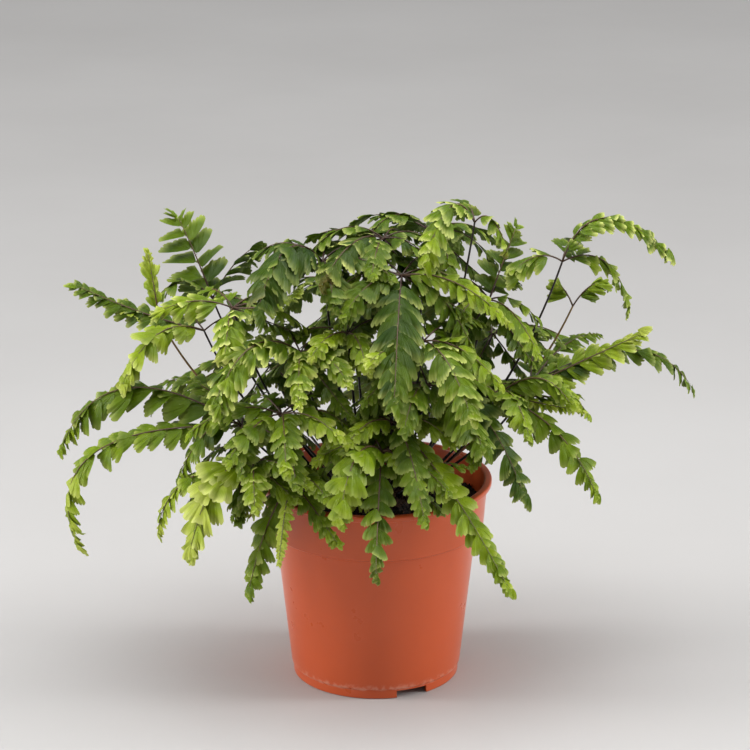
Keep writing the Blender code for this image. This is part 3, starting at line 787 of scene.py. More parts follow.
def leaflet_grids(leaf, rng):
    """Local x, y, z of every leaflet's middle surface, as shares of its length.

    A spoke runs from the stalk, at the origin, to each point of the margin. The first spoke is the
    inner edge beside the rachis, and the last is the lower edge. Lobes meet at notches.
    """
    spoke = np.arange(SPOKES)
    turn = spoke / (SPOKES - 1)
    scallop = 1 - np.abs(np.sin(pi * spoke / LOBE_STEPS)) ** NOTCH_SHARPNESS
    cut = notch_depths(leaf["tooth"], rng)[:, (spoke + LOBE_STEPS // 2) // LOBE_STEPS] * scallop
    lift = rng.normal(0, 1, (len(leaf["tooth"]), LOBES + 1))[:, spoke // LOBE_STEPS] * (1 - scallop)
    phase = leaf["phase"][:, None]
    sway = np.sin(2 * pi * (2 * turn + phase)) - np.sin(2 * pi * phase)
    angle = pi / 2 * (FAN_START - FAN_SPAN * (turn + LOBE_SWAY * sway))
    edge_x = np.cos(angle) ** (2 / ROUNDNESS)
    edge_y = np.sin(angle) ** (2 / ROUNDNESS)
    edge_x = edge_x * (1 - leaf["slant"][:, None] * edge_y**SLANT_POWER)
    ring = np.array(RINGS)
    reach = ring * (1 - cut[:, :, None] * ring**2)
    width = each(leaf["width"])
    x = edge_x[:, :, None] * reach
    y = edge_y[:, :, None] * reach * width
    y = y + EDGE_RISE * x**2 - EDGE_SAG * np.sin(pi * x)
    off = y - width / 2
    waves = np.sin(2 * pi * (leaf["waves"][:, None] * turn + phase))
    z = each(leaf["ruffle"]) * (ring**2 * waves[:, :, None] + LOBE_LIFT * ring**3 * lift[:, :, None])
    z = z + PLEAT * ring * np.cos(2 * pi * LOBES * turn)[:, None]
    z = z - each(leaf["cup"]) * (off / width) ** 2 + each(leaf["twist"]) * x * off
    return x, y, z


def leaflet_points(leaf, x, y, z):
    """Places of the middle surfaces and their normals, (leaflets, spokes, rings, 3)."""
    curl = each(leaf["curl"])
    length = each(leaf["length"])
    out = (np.sin(curl * x) / curl + z * np.sin(curl * x)) * length
    lift = ((np.cos(curl * x) - 1) / curl + z * np.cos(curl * x)) * length
    axes = [leaf[name][:, None, None, :] for name in ("along", "across", "up")]
    places = leaf["base"][:, None, None, :] + out[..., None] * axes[0]
    places = places + (y * length)[..., None] * axes[1] + lift[..., None] * axes[2]
    normal = unit(np.cross(np.gradient(places, axis=1), np.gradient(places, axis=2)))
    normal = normal * np.sign((normal * axes[2]).sum(axis=-1, keepdims=True))
    return places, normal


def leaflet_template():
    """One leaflet's closed shell: faces, their corners' grid places, their side, and the rim."""
    rings = len(RINGS)
    grid = np.arange(SPOKES * rings).reshape(SPOKES, rings)
    rim = np.ones((SPOKES, rings), bool)
    rim[1:-1, 1:-1] = False
    under = grid.copy()
    under[~rim] = SPOKES * rings + np.arange((~rim).sum())
    spoke, ring = np.meshgrid(np.arange(SPOKES - 1), np.arange(rings - 1), indexing="ij")
    corner_spokes = np.stack((spoke, spoke + 1, spoke + 1, spoke), axis=-1)
    corner_rings = np.stack((ring, ring, ring + 1, ring + 1), axis=-1)
    places = np.stack((corner_spokes, corner_rings), axis=-1).reshape(-1, 4, 2)
    top = grid[places[..., 0], places[..., 1]]
    below = under[places[..., 0], places[..., 1]][:, ::-1]
    faces = np.concatenate((top, below))
    spots = np.concatenate((places, places[:, ::-1]))
    side = np.repeat((0, 1), len(top))
    return faces, spots, side, rim


def build_leaflets(name, leaf, rng, finish):
    """All of a frond's leaflets as thin closed shells in one mesh."""
    x, y, z = leaflet_grids(leaf, rng)
    places, normal = leaflet_points(leaf, x, y, z)
    faces, spots, side, rim = leaflet_template()
    count = len(places)
    lift = normal * (LEAFLET_THICKNESS / 2) * (~rim)[None, :, :, None]
    top = (places + lift).reshape(count, -1, 3)
    below = (places - lift)[:, ~rim]
    points = np.concatenate((top, below), axis=1)
    size = points.shape[1]
    flipped = np.where((leaf["side"] > 0)[:, None, None], faces[None, :, ::-1], faces[None])
    flipped = flipped + (np.arange(count) * size)[:, None, None]
    piece = array_piece(name, points.reshape(-1, 3), flipped.reshape(-1, 4), finish)

    def both_sides(values):
        values = np.zeros_like(x) + values
        return np.concatenate((values.reshape(count, -1), values[:, ~rim]), axis=1).ravel()

    turn = np.linspace(0, 1, SPOKES)[:, None]
    lay = (both_sides(turn), both_sides(RINGS), both_sides(each(rng.random(count))))
    store(piece, "lay", "FLOAT_VECTOR", "POINT", np.stack(lay, axis=-1))
    look = [both_sides(each(leaf[name])) for name in ("tone", "pale", "brown")]
    store(piece, "look", "FLOAT_VECTOR", "POINT", np.stack(look, axis=-1))
    store(piece, "under", "FLOAT", "FACE", np.tile(side, count))
    flags = np.concatenate((rim.ravel(), np.zeros((~rim).sum(), bool)))
    sharpen(piece, np.tile(flags, count))
    lay_out(piece, spots, side, leaf["side"])
    return piece


def lay_out(piece, spots, side, hands):
    """A UV map with a square for each leaflet, its top face in one half and its underside in the other."""
    count = len(hands)
    squares = int(np.ceil(np.sqrt(count)))
    u = UV_SPARE + (1 - 2 * UV_SPARE) * spots[..., 0] / (SPOKES - 1)
    v = (UV_SPARE + (1 - 2 * UV_SPARE) * spots[..., 1] / (len(RINGS) - 1)) / 2 + side[:, None] / 2
    place = np.stack((u, v), axis=-1)
    place = np.where((hands > 0)[:, None, None, None], place[None, :, ::-1], place[None])
    corner = np.stack((np.arange(count) % squares, np.arange(count) // squares), axis=-1)
    layer = piece.data.uv_layers.new(name="OFBake")
    layer.data.foreach_set("uv", ((place + corner[:, None, None]) / squares).astype(np.float32).ravel())


# ---------------------------------------------------------------- fronds

class Blade:
    """The leaflets and ribs of one frond, gathered finger by finger."""

    def __init__(self, rng):
        self.rng = rng
        self.rows = []
        self.ribs = Tubes(6)
        self.stalks = Tubes(4)

    def pick(self, name):
        return self.rng.uniform(*CHANCE[name])

    def finger(self, hub, plan, nudge):
        control, tip, side = arch_of(hub, plan, nudge)
        look = plan.look
        arch, t = arch_points(hub, control, tip, ARCH_POINTS)
        steps = np.linalg.norm(np.diff(arch, axis=0), axis=1)
        reach = np.concatenate(((0,), np.cumsum(steps)))
        tones = np.linspace(0, RIB_TIP_TONE, RIB_POINTS) + RIB_TONE_FROM_LEAF * look["tone"] + RIB_TONE
        self.ribs.add(arch[::RIB_EVERY], np.linspace(*RIB_RADII, RIB_POINTS), tones)
        place = partial(self.leaflet, hub, control, tip, side, plan)
        full = plan.half * LEAFLET_SHARE * look["big"]
        spot = FIRST_LEAFLET + self.rng.uniform(0, FIRST_LEAFLET_SWAY)
        hand = 1 if self.rng.random() < 0.5 else -1
        while spot < reach[-1] - LAST_GAP:
            share = spot / reach[-1]
            size = full * leaflet_size(share, look["last"])
            place(np.interp(spot, reach, t), share, size, hand)
            hand = -hand
            spot += size * PITCH_SHARE / 2 * look["spread"] * self.pick("spacing")
        place(1.0, 1.0, full * leaflet_size(1, look["last"]) * END_LEAFLET_SHARE, 0)

    def leaflet(self, hub, control, tip, side, plan, at, share, size, hand):
        """One leaflet; hand is 1 on the left, -1 on the right and 0 at the finger's end."""
        rng = self.rng
        look = plan.look
        ahead = along_arch(hub, control, tip, at)
        left, top = across_rib(side, ahead, roll_of(hub, plan, side) + radians(look["turn"]))
        forward = radians(FORWARD + FORWARD_AT_TIP * share**2 + rng.normal(0, ANGLE_SWAY))
        droop = radians(look["droop"] * (1 - DROOP_LOSS * share) + rng.normal(0, ANGLE_SWAY))
        turn = hand or 1
        if hand == 0:
            forward = END_FORWARD
            droop = radians(END_DROOP)
        outward = left * (turn * cos(forward)) + ahead * sin(forward)
        along = outward * cos(droop) - top * sin(droop)
        across = ahead * cos(forward) - left * (turn * sin(forward))
        up = along.cross(across) * -turn
        pitch = radians(rng.normal(look["pitch"], PITCH_SWAY))
        across, up = across * cos(pitch) + up * sin(pitch), up * cos(pitch) - across * sin(pitch)
        place = on_arch(hub, control, tip, at)
        base = place + outward * (STALK_LENGTH + size * STALK_SHARE) * abs(hand)
        width = WIDTH_SHARE * look["broad"] * self.pick("width")
        if hand == 0:
            base = place - across * (size * width / 2)
        elif size > STALKED_SIZE:
            bend = place.lerp(base, 0.5) + top * STALK_ARCH
            self.stalks.add(np.array((place, bend, base + along * STALK_OVERLAP)), STALK_RADII, share)
        withered = look["brown"] * np.clip((share - WITHERED_FROM) / WITHERED_OVER, 0, 1)
        self.rows.append(dict(
            base=base, along=along, across=across, up=up,
            length=size * self.pick("length"),
            width=width * (1 - WITHERED_WIDTH * withered),
            slant=self.pick("slant"),
            tooth=TOOTH * self.pick("tooth"),
            ruffle=LEAST_RUFFLE + MOST_RUFFLE * look["ruffle"] * self.pick("ruffle"),
            waves=self.pick("waves"),
            phase=rng.random(),
            cup=self.pick("cup"),
            twist=rng.normal(0, TWIST_SWAY),
            curl=radians(look["curl"]) * self.pick("curl") + WITHERED_CURL * withered,
            tone=look["tone"] + look["young"] * share**2 + rng.normal(0, TONE_SWAY),
            pale=look["pale"] * self.pick("pale"),
            brown=withered + SPOT_BROWN * (rng.random() < SPOT_CHANCE),
            side=turn,
        ))

    def arrays(self):
        return {field: np.array([np.array(row[field]) for row in self.rows]) for field in self.rows[0]}


def leaflet_size(share, last):
    """Share of the full length that a leaflet has, by its place along the finger."""
    start = min(1, START_SIZE + share * START_GROWTH)
    taper = max(0, (share - TAPER_START) / (1 - TAPER_START)) ** TAPER_POWER
    return start * (1 + (last - 1) * taper)


def attach(node, slot, *pieces):
    """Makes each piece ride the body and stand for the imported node."""
    for piece in pieces:
        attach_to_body(piece, "root")
        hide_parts(node)


def build_fronds(leaf_finish, rib_finish, stem_finish):
    for number, (hub_place, plans) in enumerate(FRONDS, 1):
        name = f"frond_{number:02d}"
        rng = np.random.default_rng(number)
        hub = Vector(hub_place)
        stipe_tree = packed_points(name + "_stipe")
        nudge, _ = best_nudge(STIPE_REACHES, partial(stipe_probes, hub), stipe_tree)
        build_stem(name, hub, nudge, number in YOUNG_FRONDS, stem_finish)
        blade_tree = packed_points(name + "_blade")
        blade = Blade(rng)
        for plan in plans:
            nudge, _ = best_nudge(FINGER_REACHES, partial(finger_probes, hub, plan), blade_tree)
            blade.finger(hub, plan, nudge)
        for plan in () if number in OPEN_FRONDS else all_fillers(hub, plans):
            nudge, least = best_nudge(FILLER_REACHES, partial(finger_probes, hub, plan), blade_tree)
            if least < MOST_MISFIT:
                blade.finger(hub, plan, nudge)
        leaflets = build_leaflets(name + "_leaflets", blade.arrays(), rng, leaf_finish)
        ribs = blade.ribs.piece(name + "_ribs", rib_finish)
        stalks = blade.stalks.piece(name + "_stalks", rib_finish)
        attach(name + "_blade", "leaf", leaflets)
        attach(name + "_blade", "stipe", ribs, stalks)


def build_stem(name, hub, nudge, young, finish):
    foot, control, head = stipe_arch(hub, nudge)
    path, t = arch_points(foot, control, head, STEM_POINTS)
    path = np.concatenate((path[:1] - (0, 0, STEM_SINK), path, (np.array(hub),)))
    radii = np.concatenate(((0,), STEM_RADIUS - STEM_TAPER * t, (STIPE_TOP_RADIUS,)))
    radii[:len(STEM_ROOT_RADII)] = STEM_ROOT_RADII
    tones = np.linspace(0, OLD_STEM_TONE, len(path)) ** 2
    if young:
        tones = np.linspace(YOUNG_STEM_TONE, 1, len(path))
    tubes = Tubes(STEM_SIDES)
    tubes.add(path, radii, tones)
    attach(name + "_stipe", "stipe", tubes.piece(name + "_stem", finish))


# ---------------------------------------------------------------- pot

def new_object(name, bm, finish):
    bmesh.ops.recalc_face_normals(bm, faces=bm.faces)
    mesh = bpy.data.meshes.new(name)
    bm.to_mesh(mesh)
    bm.free()
    mesh.materials.append(finish)
    made = bpy.data.objects.new(name, mesh)
    bpy.context.scene.collection.objects.link(made)
    return made


def rounded(corners):
    """The outline (radius, z, fillet radius) with each corner replaced by an arc."""
    places = [Vector((r, z)) for r, z, _ in corners]
    outline = []
    for index, (_, _, fillet) in enumerate(corners):
        place = places[index]
        if fillet == 0:
            outline.append(place)
            continue
        before = places[index - 1] - place
        after = places[(index + 1) % len(places)] - place
        reach = min(fillet, before.length * FILLET_SHARE, after.length * FILLET_SHARE)
        start = place + before.normalized() * reach
        end = place + after.normalized() * reach
        for step in range(FILLET_STEPS + 1):
            outline.append(on_arch(start, place, end, step / FILLET_STEPS))
    return outline


def pot_outline():
    """The pot's section, (radius, z, fillet), from the outside of its foot round to the inside of it."""
    lip_z = POT_HEIGHT - LIP_HEIGHT
    outer = [
        (FOOT_RADIUS, 0, 0.4),
        (FOOT_RADIUS + FOOT_FLARE, RIDGE_Z - RIDGE_HEIGHT, 0.3),
        (RIDGE_RADIUS, RIDGE_Z, 0.4),
        (BODY_TOP_RADIUS, BODY_TOP_Z, 0.5),
        (BAND_FOOT_RADIUS, BAND_FOOT_Z, 0.9),
        (BAND_TOP_RADIUS, lip_z - LIP_UNDERCUT, 0.5),
        (RIM_RADIUS, lip_z, 0.8),
        (RIM_RADIUS, POT_HEIGHT, 1.1),
    ]
    inner = [
        (BAND_TOP_RADIUS - WALL, POT_HEIGHT, 1.1),
        (BAND_FOOT_RADIUS - WALL, BAND_FOOT_Z + WALL, 0.5),
        (BODY_TOP_RADIUS - WALL, BODY_TOP_Z, 0.5),
        (RIDGE_RADIUS - WALL, FLOOR_Z + WALL, 1.5),
        (0, FLOOR_Z + WALL, 0),
    ]
    under = [
        (0, FLOOR_Z, 0),
        (FOOT_RADIUS - FOOT_WIDTH, FLOOR_Z, 0.5),
        (FOOT_RADIUS - FOOT_WIDTH, 0, 0.4),
    ]
    return rounded(outer + inner + under)


def turned(outline, sides):
    """The outline, (radius, z) in mm, spun round the Z axis into a closed body."""
    bm = bmesh.new()
    corners = [bm.verts.new((r * MM, 0, z * MM)) for r, z in outline]
    edges = [bm.edges.new(pair) for pair in zip(corners, corners[1:] + corners[:1])]
    bmesh.ops.spin(
        bm, geom=corners + edges, angle=2 * pi, steps=sides, axis=UP, cent=(0, 0, 0), use_merge=True
    )
    bmesh.ops.remove_doubles(bm, verts=bm.verts, dist=WELD * MM)
    return bm


def add_drain(bm, x, y):
    made = bmesh.ops.create_cone(
        bm, cap_ends=True, segments=DRAIN_SIDES, radius1=DRAIN_RADIUS * MM, radius2=DRAIN_RADIUS * MM,
        depth=(DRAIN_HIGH - DRAIN_LOW) * MM
    )
    bmesh.ops.translate(bm, verts=made["verts"], vec=Vector((x, y, (DRAIN_LOW + DRAIN_HIGH) / 2)) * MM)


def pot_cutter():
    """Drain holes through the floor, and notches through the foot ring."""
    bm = bmesh.new()
    add_drain(bm, 0, 0)
    for index in range(DRAIN_COUNT):
        angle = 2 * pi * index / DRAIN_COUNT
        add_drain(bm, DRAIN_CIRCLE * cos(angle), DRAIN_CIRCLE * sin(angle))
    for index in range(NOTCH_COUNT):
        angle = radians(NOTCH_TURN - 90) + 2 * pi * index / NOTCH_COUNT
        ahead = Vector((cos(angle), sin(angle), 0))
        across = Vector((-ahead.y, ahead.x, 0))
        for corner in bmesh.ops.create_cube(bm, size=1)["verts"]:
            x, y, z = corner.co
            place = ahead * (FOOT_RADIUS + x * NOTCH_REACH) + across * (y * NOTCH_WIDTH)
            corner.co = (place + UP * (NOTCH_HEIGHT if z > 0 else -NOTCH_HEIGHT)) * MM
    return bm


def build_pot(finish):
    pot = new_object("pot_shell", turned(pot_outline(), POT_SIDES), finish)
    cutter = new_object("pot_cutter", pot_cutter(), finish)
    cut = pot.modifiers.new("notches_and_drain_holes", "BOOLEAN")
    cut.operation = "DIFFERENCE"
    cut.solver = "EXACT"
    cut.object = cutter
    bpy.context.view_layer.update()
    evaluated = pot.evaluated_get(bpy.context.evaluated_depsgraph_get())
    mesh = bpy.data.meshes.new_from_object(evaluated)
    pot.modifiers.clear()
    pot.data = mesh
    bpy.data.objects.remove(cutter)
    mesh.shade_smooth()
    mesh.set_sharp_from_angle(angle=radians(SHARP_POT_ANGLE))
    attach("pot", "pot_plastic", pot)




# ---------------------------------------------------------------- root ball and crown

def wall_inside(z):
    """The pot's inner radius at a height inside it."""
    low = (RIDGE_RADIUS - WALL, FLOOR_Z + 2 * WALL)
    high = (BODY_TOP_RADIUS - WALL, BODY_TOP_Z)
    if z > BAND_FOOT_Z + WALL:
        low = (BAND_FOOT_RADIUS - WALL, BAND_FOOT_Z + WALL)
        high = (BAND_TOP_RADIUS - WALL, POT_HEIGHT - LIP_UNDERCUT)
    return low[0] + (high[0] - low[0]) * (z - low[1]) / (high[1] - low[1])


def soil_height(x, y):
    """Height of the peat's surface in mm, with crumbs and hollows."""
    share = min(1, (x * x + y * y) ** 0.5 / wall_inside(SOIL_EDGE_Z))
    height = SOIL_CROWN_Z + (SOIL_EDGE_Z - SOIL_CROWN_Z) * share**MOUND_POWER
    hollows = noise.noise(Vector((x, y, HOLLOW_SEED)) * HOLLOW_SIZE) * HOLLOW_HEIGHT
    crumbs = noise.turbulence(Vector((x, y, CRUMB_SEED)) * CRUMB_SIZE, NOISE_STEPS, False)
    return height + hollows + crumbs * CRUMB_HEIGHT - SOIL_SINK


def row_of_points(radius, sides, height):
    """Points round a circle, each as high as height says for its x and y."""
    points = []
    for side in range(sides):
        angle = 2 * pi * side / sides
        x, y = radius * cos(angle), radius * sin(angle)
        points.append((x, y, height(x, y)))
    return points


def closed_mound(name, rows, sides, middles, finish):
    """A closed body from rows of points, from the inside of its top round to its underside."""
    points = [point for row in rows for point in row]
    top = len(points)
    points += middles
    faces = []
    for start in range(0, top - sides, sides):
        for side in range(sides):
            near = start + side
            following = start + (side + 1) % sides
            faces += [(near, near + sides, following + sides), (near, following + sides, following)]
    last = top - sides
    for side in range(sides):
        following = (side + 1) % sides
        faces += [(top, side, following), (top + 1, last + following, last + side)]
    return array_piece(name, np.array(points), np.array(faces), finish)


def build_soil(finish):
    """The root ball: a closed body with a crumbly top."""
    edge = wall_inside(SOIL_EDGE_Z) - 2 * GAP
    radii = [edge * ring / SOIL_RINGS for ring in range(1, SOIL_RINGS + 1)]
    rows = [row_of_points(radius, SOIL_SIDES, soil_height) for radius in radii]
    low = FLOOR_Z + WALL + GAP
    sill = BAND_FOOT_Z + 2 * WALL
    outline = (
        (wall_inside(sill) - 2 * GAP, sill),
        (wall_inside(BODY_TOP_Z) - 2 * GAP, BODY_TOP_Z),
        (wall_inside(low + 2 * WALL) - 2 * GAP, low + 2 * WALL),
        (RIDGE_RADIUS - 3 * WALL, low),
    )
    for radius, z in outline:
        rows.append(row_of_points(radius, SOIL_SIDES, lambda x, y: z))
    middles = [(0, 0, soil_height(0, 0)), (0, 0, low)]
    soil = closed_mound("soil_surface", rows, SOIL_SIDES, middles, finish)
    soil.data.set_sharp_from_angle(angle=radians(SHARP_SOIL_ANGLE))
    return soil


def crown_row(ring):
    radius = CROWN_RADIUS * ring / CROWN_RINGS
    drop = CROWN_LIP_DROP * max(0, ring / CROWN_RINGS - CROWN_LIP) ** 2

    def height(x, y):
        bumps = noise.turbulence(Vector((x, y, CROWN_SEED)) * CROWN_BUMP_SIZE, NOISE_STEPS, False)
        return crown_top(radius) + bumps * CROWN_BUMP_HEIGHT - CROWN_SINK - drop

    return row_of_points(radius, CROWN_SIDES, height)


def build_crown(finish):
    """The rhizome: a lumpy mat, closed below."""
    rows = [crown_row(ring) for ring in range(1, CROWN_RINGS + 1)]
    low = SOIL_CROWN_Z - CROWN_DEPTH
    rows.append(row_of_points(CROWN_RADIUS * CROWN_FOOT_SHARE, CROWN_SIDES, lambda x, y: low))
    middles = [(0, 0, crown_top(0)), (0, 0, low)]
    return closed_mound("crown_mat", rows, CROWN_SIDES, middles, finish)


def lump(rng):
    """A small irregular body: a squashed, dented icosphere, as points and triangles."""
    bm = bmesh.new()
    bmesh.ops.create_icosphere(bm, subdivisions=1, radius=1)
    stretch = rng.uniform(*CRUMB_STRETCH, 3)
    points = [vertex.co * (1 + CRUMB_DENT * rng.uniform(-1, 1)) for vertex in bm.verts]
    faces = [[vertex.index for vertex in face.verts] for face in bm.faces]
    points = np.array(points) * stretch
    bm.free()
    return points, np.array(faces)


def scatter(rng, edge, nearest=0.0):
    """A direction from the pot's axis, and a distance, spread evenly over a disc."""
    angle = rng.uniform(0, 2 * pi)
    return angle, edge * rng.uniform(nearest, 1) ** 0.5


def build_crumbs(finish):
    """Loose crumbs of peat and bark on the surface."""
    rng = np.random.default_rng(101)
    shapes = [lump(rng) for _ in range(CRUMB_SHAPES)]
    edge = wall_inside(SOIL_EDGE_Z)
    points = []
    faces = []
    tones = []
    count = 0
    for _ in range(CRUMBS):
        angle, radius = scatter(rng, edge - CRUMB_EDGE, CRUMB_NEAREST)
        x, y = radius * cos(angle), radius * sin(angle)
        size = CRUMB_SMALLEST + CRUMB_GROWTH * rng.random() ** 3
        shape, shape_faces = shapes[rng.integers(len(shapes))]
        spin = rng.uniform(0, 2 * pi)
        turn = np.array(((cos(spin), -sin(spin), 0), (sin(spin), cos(spin), 0), (0, 0, 1)))
        place = np.array((x, y, soil_height(x, y) + size * CRUMB_LIFT))
        room = (edge - CRUMB_CLEARANCE - radius) / CRUMB_STRETCH[1]
        points.append(shape @ turn.T * min(size, room) + place)
        faces.append(shape_faces + count)
        tones.append(np.full(len(shape), rng.random()))
        count += len(shape)
    piece = array_piece("soil_crumbs", np.concatenate(points), np.concatenate(faces), finish)
    store(piece, "tone", "FLOAT", "POINT", np.concatenate(tones))
    return piece


def build_fibres(finish):
    """Root hairs and coir fibres lying on the peat."""
    rng = np.random.default_rng(202)
    tubes = Tubes(5)
    edge = wall_inside(SOIL_EDGE_Z) - FIBRE_EDGE
    for _ in range(FIBRES):
        angle, radius = scatter(rng, edge, FIBRE_NEAREST)
        heading = rng.uniform(0, 2 * pi)
        bend = rng.normal(0, FIBRE_BEND)
        x, y = radius * cos(angle), radius * sin(angle)
        path = []
        for _ in range(FIBRE_POINTS):
            path.append((x, y, soil_height(x, y) + FIBRE_LIFT + FIBRE_SWAY * rng.random()))
            x += cos(heading) * FIBRE_STEP
            y += sin(heading) * FIBRE_STEP
            heading += bend
        path = np.array(path)
        outermost = np.linalg.norm(path[:, :2], axis=1).max()
        if outermost > edge:
            path[:, :2] *= edge / outermost
        tubes.add(path, np.linspace(*FIBRE_RADII, FIBRE_POINTS), rng.random())
    return tubes.piece("soil_fibres", finish)


def build_crown_scales(finish):
    """Brown scales and the stubs of old stipes that stand on the rhizome."""
    rng = np.random.default_rng(303)
    tubes = Tubes(5)
    upright = np.array(UP)
    t = np.linspace(0, 1, len(SCALE_RADII))[:, None]
    for _ in range(SCALES):
        angle, radius = scatter(rng, CROWN_RADIUS - SCALE_MARGIN)
        outward = np.array((cos(angle), sin(angle), 0))
        foot = outward * radius + upright * (crown_top(radius) - SCALE_FOOT)
        lean = outward * rng.uniform(*SCALE_LEANS)
        lean = lean + rng.normal(0, SCALE_SWAY, 3) * (1, 1, 0)
        path = foot + (lean * t + upright * (t - SCALE_BOW * t**2)) * rng.uniform(*SCALE_LENGTHS)
        tubes.add(path, SCALE_RADII, rng.uniform(*SCALE_TONES))
    t = np.linspace(0, 1, STUB_POINTS)[:, None]
    for _ in range(STUBS):
        angle, radius = scatter(rng, CROWN_RADIUS - STUB_MARGIN)
        outward = np.array((cos(angle), sin(angle), 0))
        foot = outward * radius + upright * (crown_top(radius) - STUB_FOOT)
        path = foot + (outward * rng.uniform(*STUB_LEANS) + upright) * t * rng.uniform(*STUB_LENGTHS)
        tubes.add(path, np.linspace(*STUB_RADII, STUB_POINTS), rng.uniform(*STUB_TONES))
    return tubes.piece("crown_scales", finish)


def build_root_ball():
    soil = build_soil(soil_material())
    crumbs = build_crumbs(crumb_material("bark_crumbs", BARK_RAMP))
    fibres = build_fibres(crumb_material("root_fibres", FIBRE_RAMP))
    attach("soil", "soil", soil, crumbs, fibres)
    crown = build_crown(crown_material())
    scales = build_crown_scales(crumb_material("rhizome_scales", SCALE_RAMP))
    attach("rhizome", "rhizome", crown, scales)


# ---------------------------------------------------------------- materials

# Colours, and ramps of (place, colour)
LEAF_RAMP = (
    (0.0, (0.024, 0.058, 0.010)),
    (0.3, (0.066, 0.125, 0.005)),
    (0.6, (0.160, 0.255, 0.006)),
    (0.85, (0.345, 0.475, 0.013)),
    (1.0, (0.560, 0.650, 0.080)),
)
MARGIN_GREEN = (0.80, 0.86, 0.24, 1)
WITHERED_BROWN = (0.27, 0.14, 0.05, 1)
UNDERSIDE_GREEN = (0.16, 0.24, 0.05, 1)
GLOWING_GREEN = (0.28, 0.42, 0.012, 1)
RIB_RAMP = ((0.0, (0.045, 0.020, 0.014)), (0.45, (0.13, 0.07, 0.03)), (1.0, (0.22, 0.26, 0.07)))
STIPE_RAMP = (
    (0.0, (0.010, 0.006, 0.005)),
    (0.35, (0.040, 0.017, 0.012)),
    (0.75, (0.16, 0.05, 0.03)),
    (1.0, (0.24, 0.15, 0.05)),
)
TERRACOTTA_RAMP = ((0.3, (0.525, 0.082, 0.019)), (0.7, (0.570, 0.092, 0.023)))
SCUFF_PINK = (0.80, 0.48, 0.36, 1)
PEAT_RAMP = (
    (0.30, (0.006, 0.004, 0.003)),
    (0.55, (0.018, 0.011, 0.008)),
    (0.68, (0.060, 0.030, 0.018)),
    (0.80, (0.130, 0.075, 0.045)),
)
BARK_RAMP = (
    (0.0, (0.008, 0.005, 0.004)),
    (0.6, (0.030, 0.017, 0.011)),
    (0.9, (0.10, 0.05, 0.03)),
    (1.0, (0.22, 0.14, 0.08)),
)
FIBRE_RAMP = ((0.0, (0.030, 0.016, 0.010)), (1.0, (0.20, 0.12, 0.06)))
SCALE_RAMP = ((0.0, (0.012, 0.007, 0.006)), (0.3, (0.05, 0.022, 0.012)), (1.0, (0.16, 0.085, 0.04)))
CROWN_RAMP = ((0.3, (0.010, 0.006, 0.004)), (0.6, (0.055, 0.028, 0.015)), (0.8, (0.13, 0.075, 0.04)))
FLOOR_RAMP = ((0.3, (0.50, 0.49, 0.48)), (0.7, (0.54, 0.53, 0.52)))

VEINS_PER_LOBE = 4
MARGIN_START = 0.68
MARGIN_POWER = 1.4
UNDERSIDE_SHARE = 0.45
TRANSLUCENCE = 0.26
LEAF_GLOSS = 0.27
POT_GLOSS = 0.42
FOOT_SCUFF_Z = (0.0085, 0.0045)   # scuffed from nothing at the first height to fully at the second
FOOT_EDGE_Z = (0.0040, 0.0052)


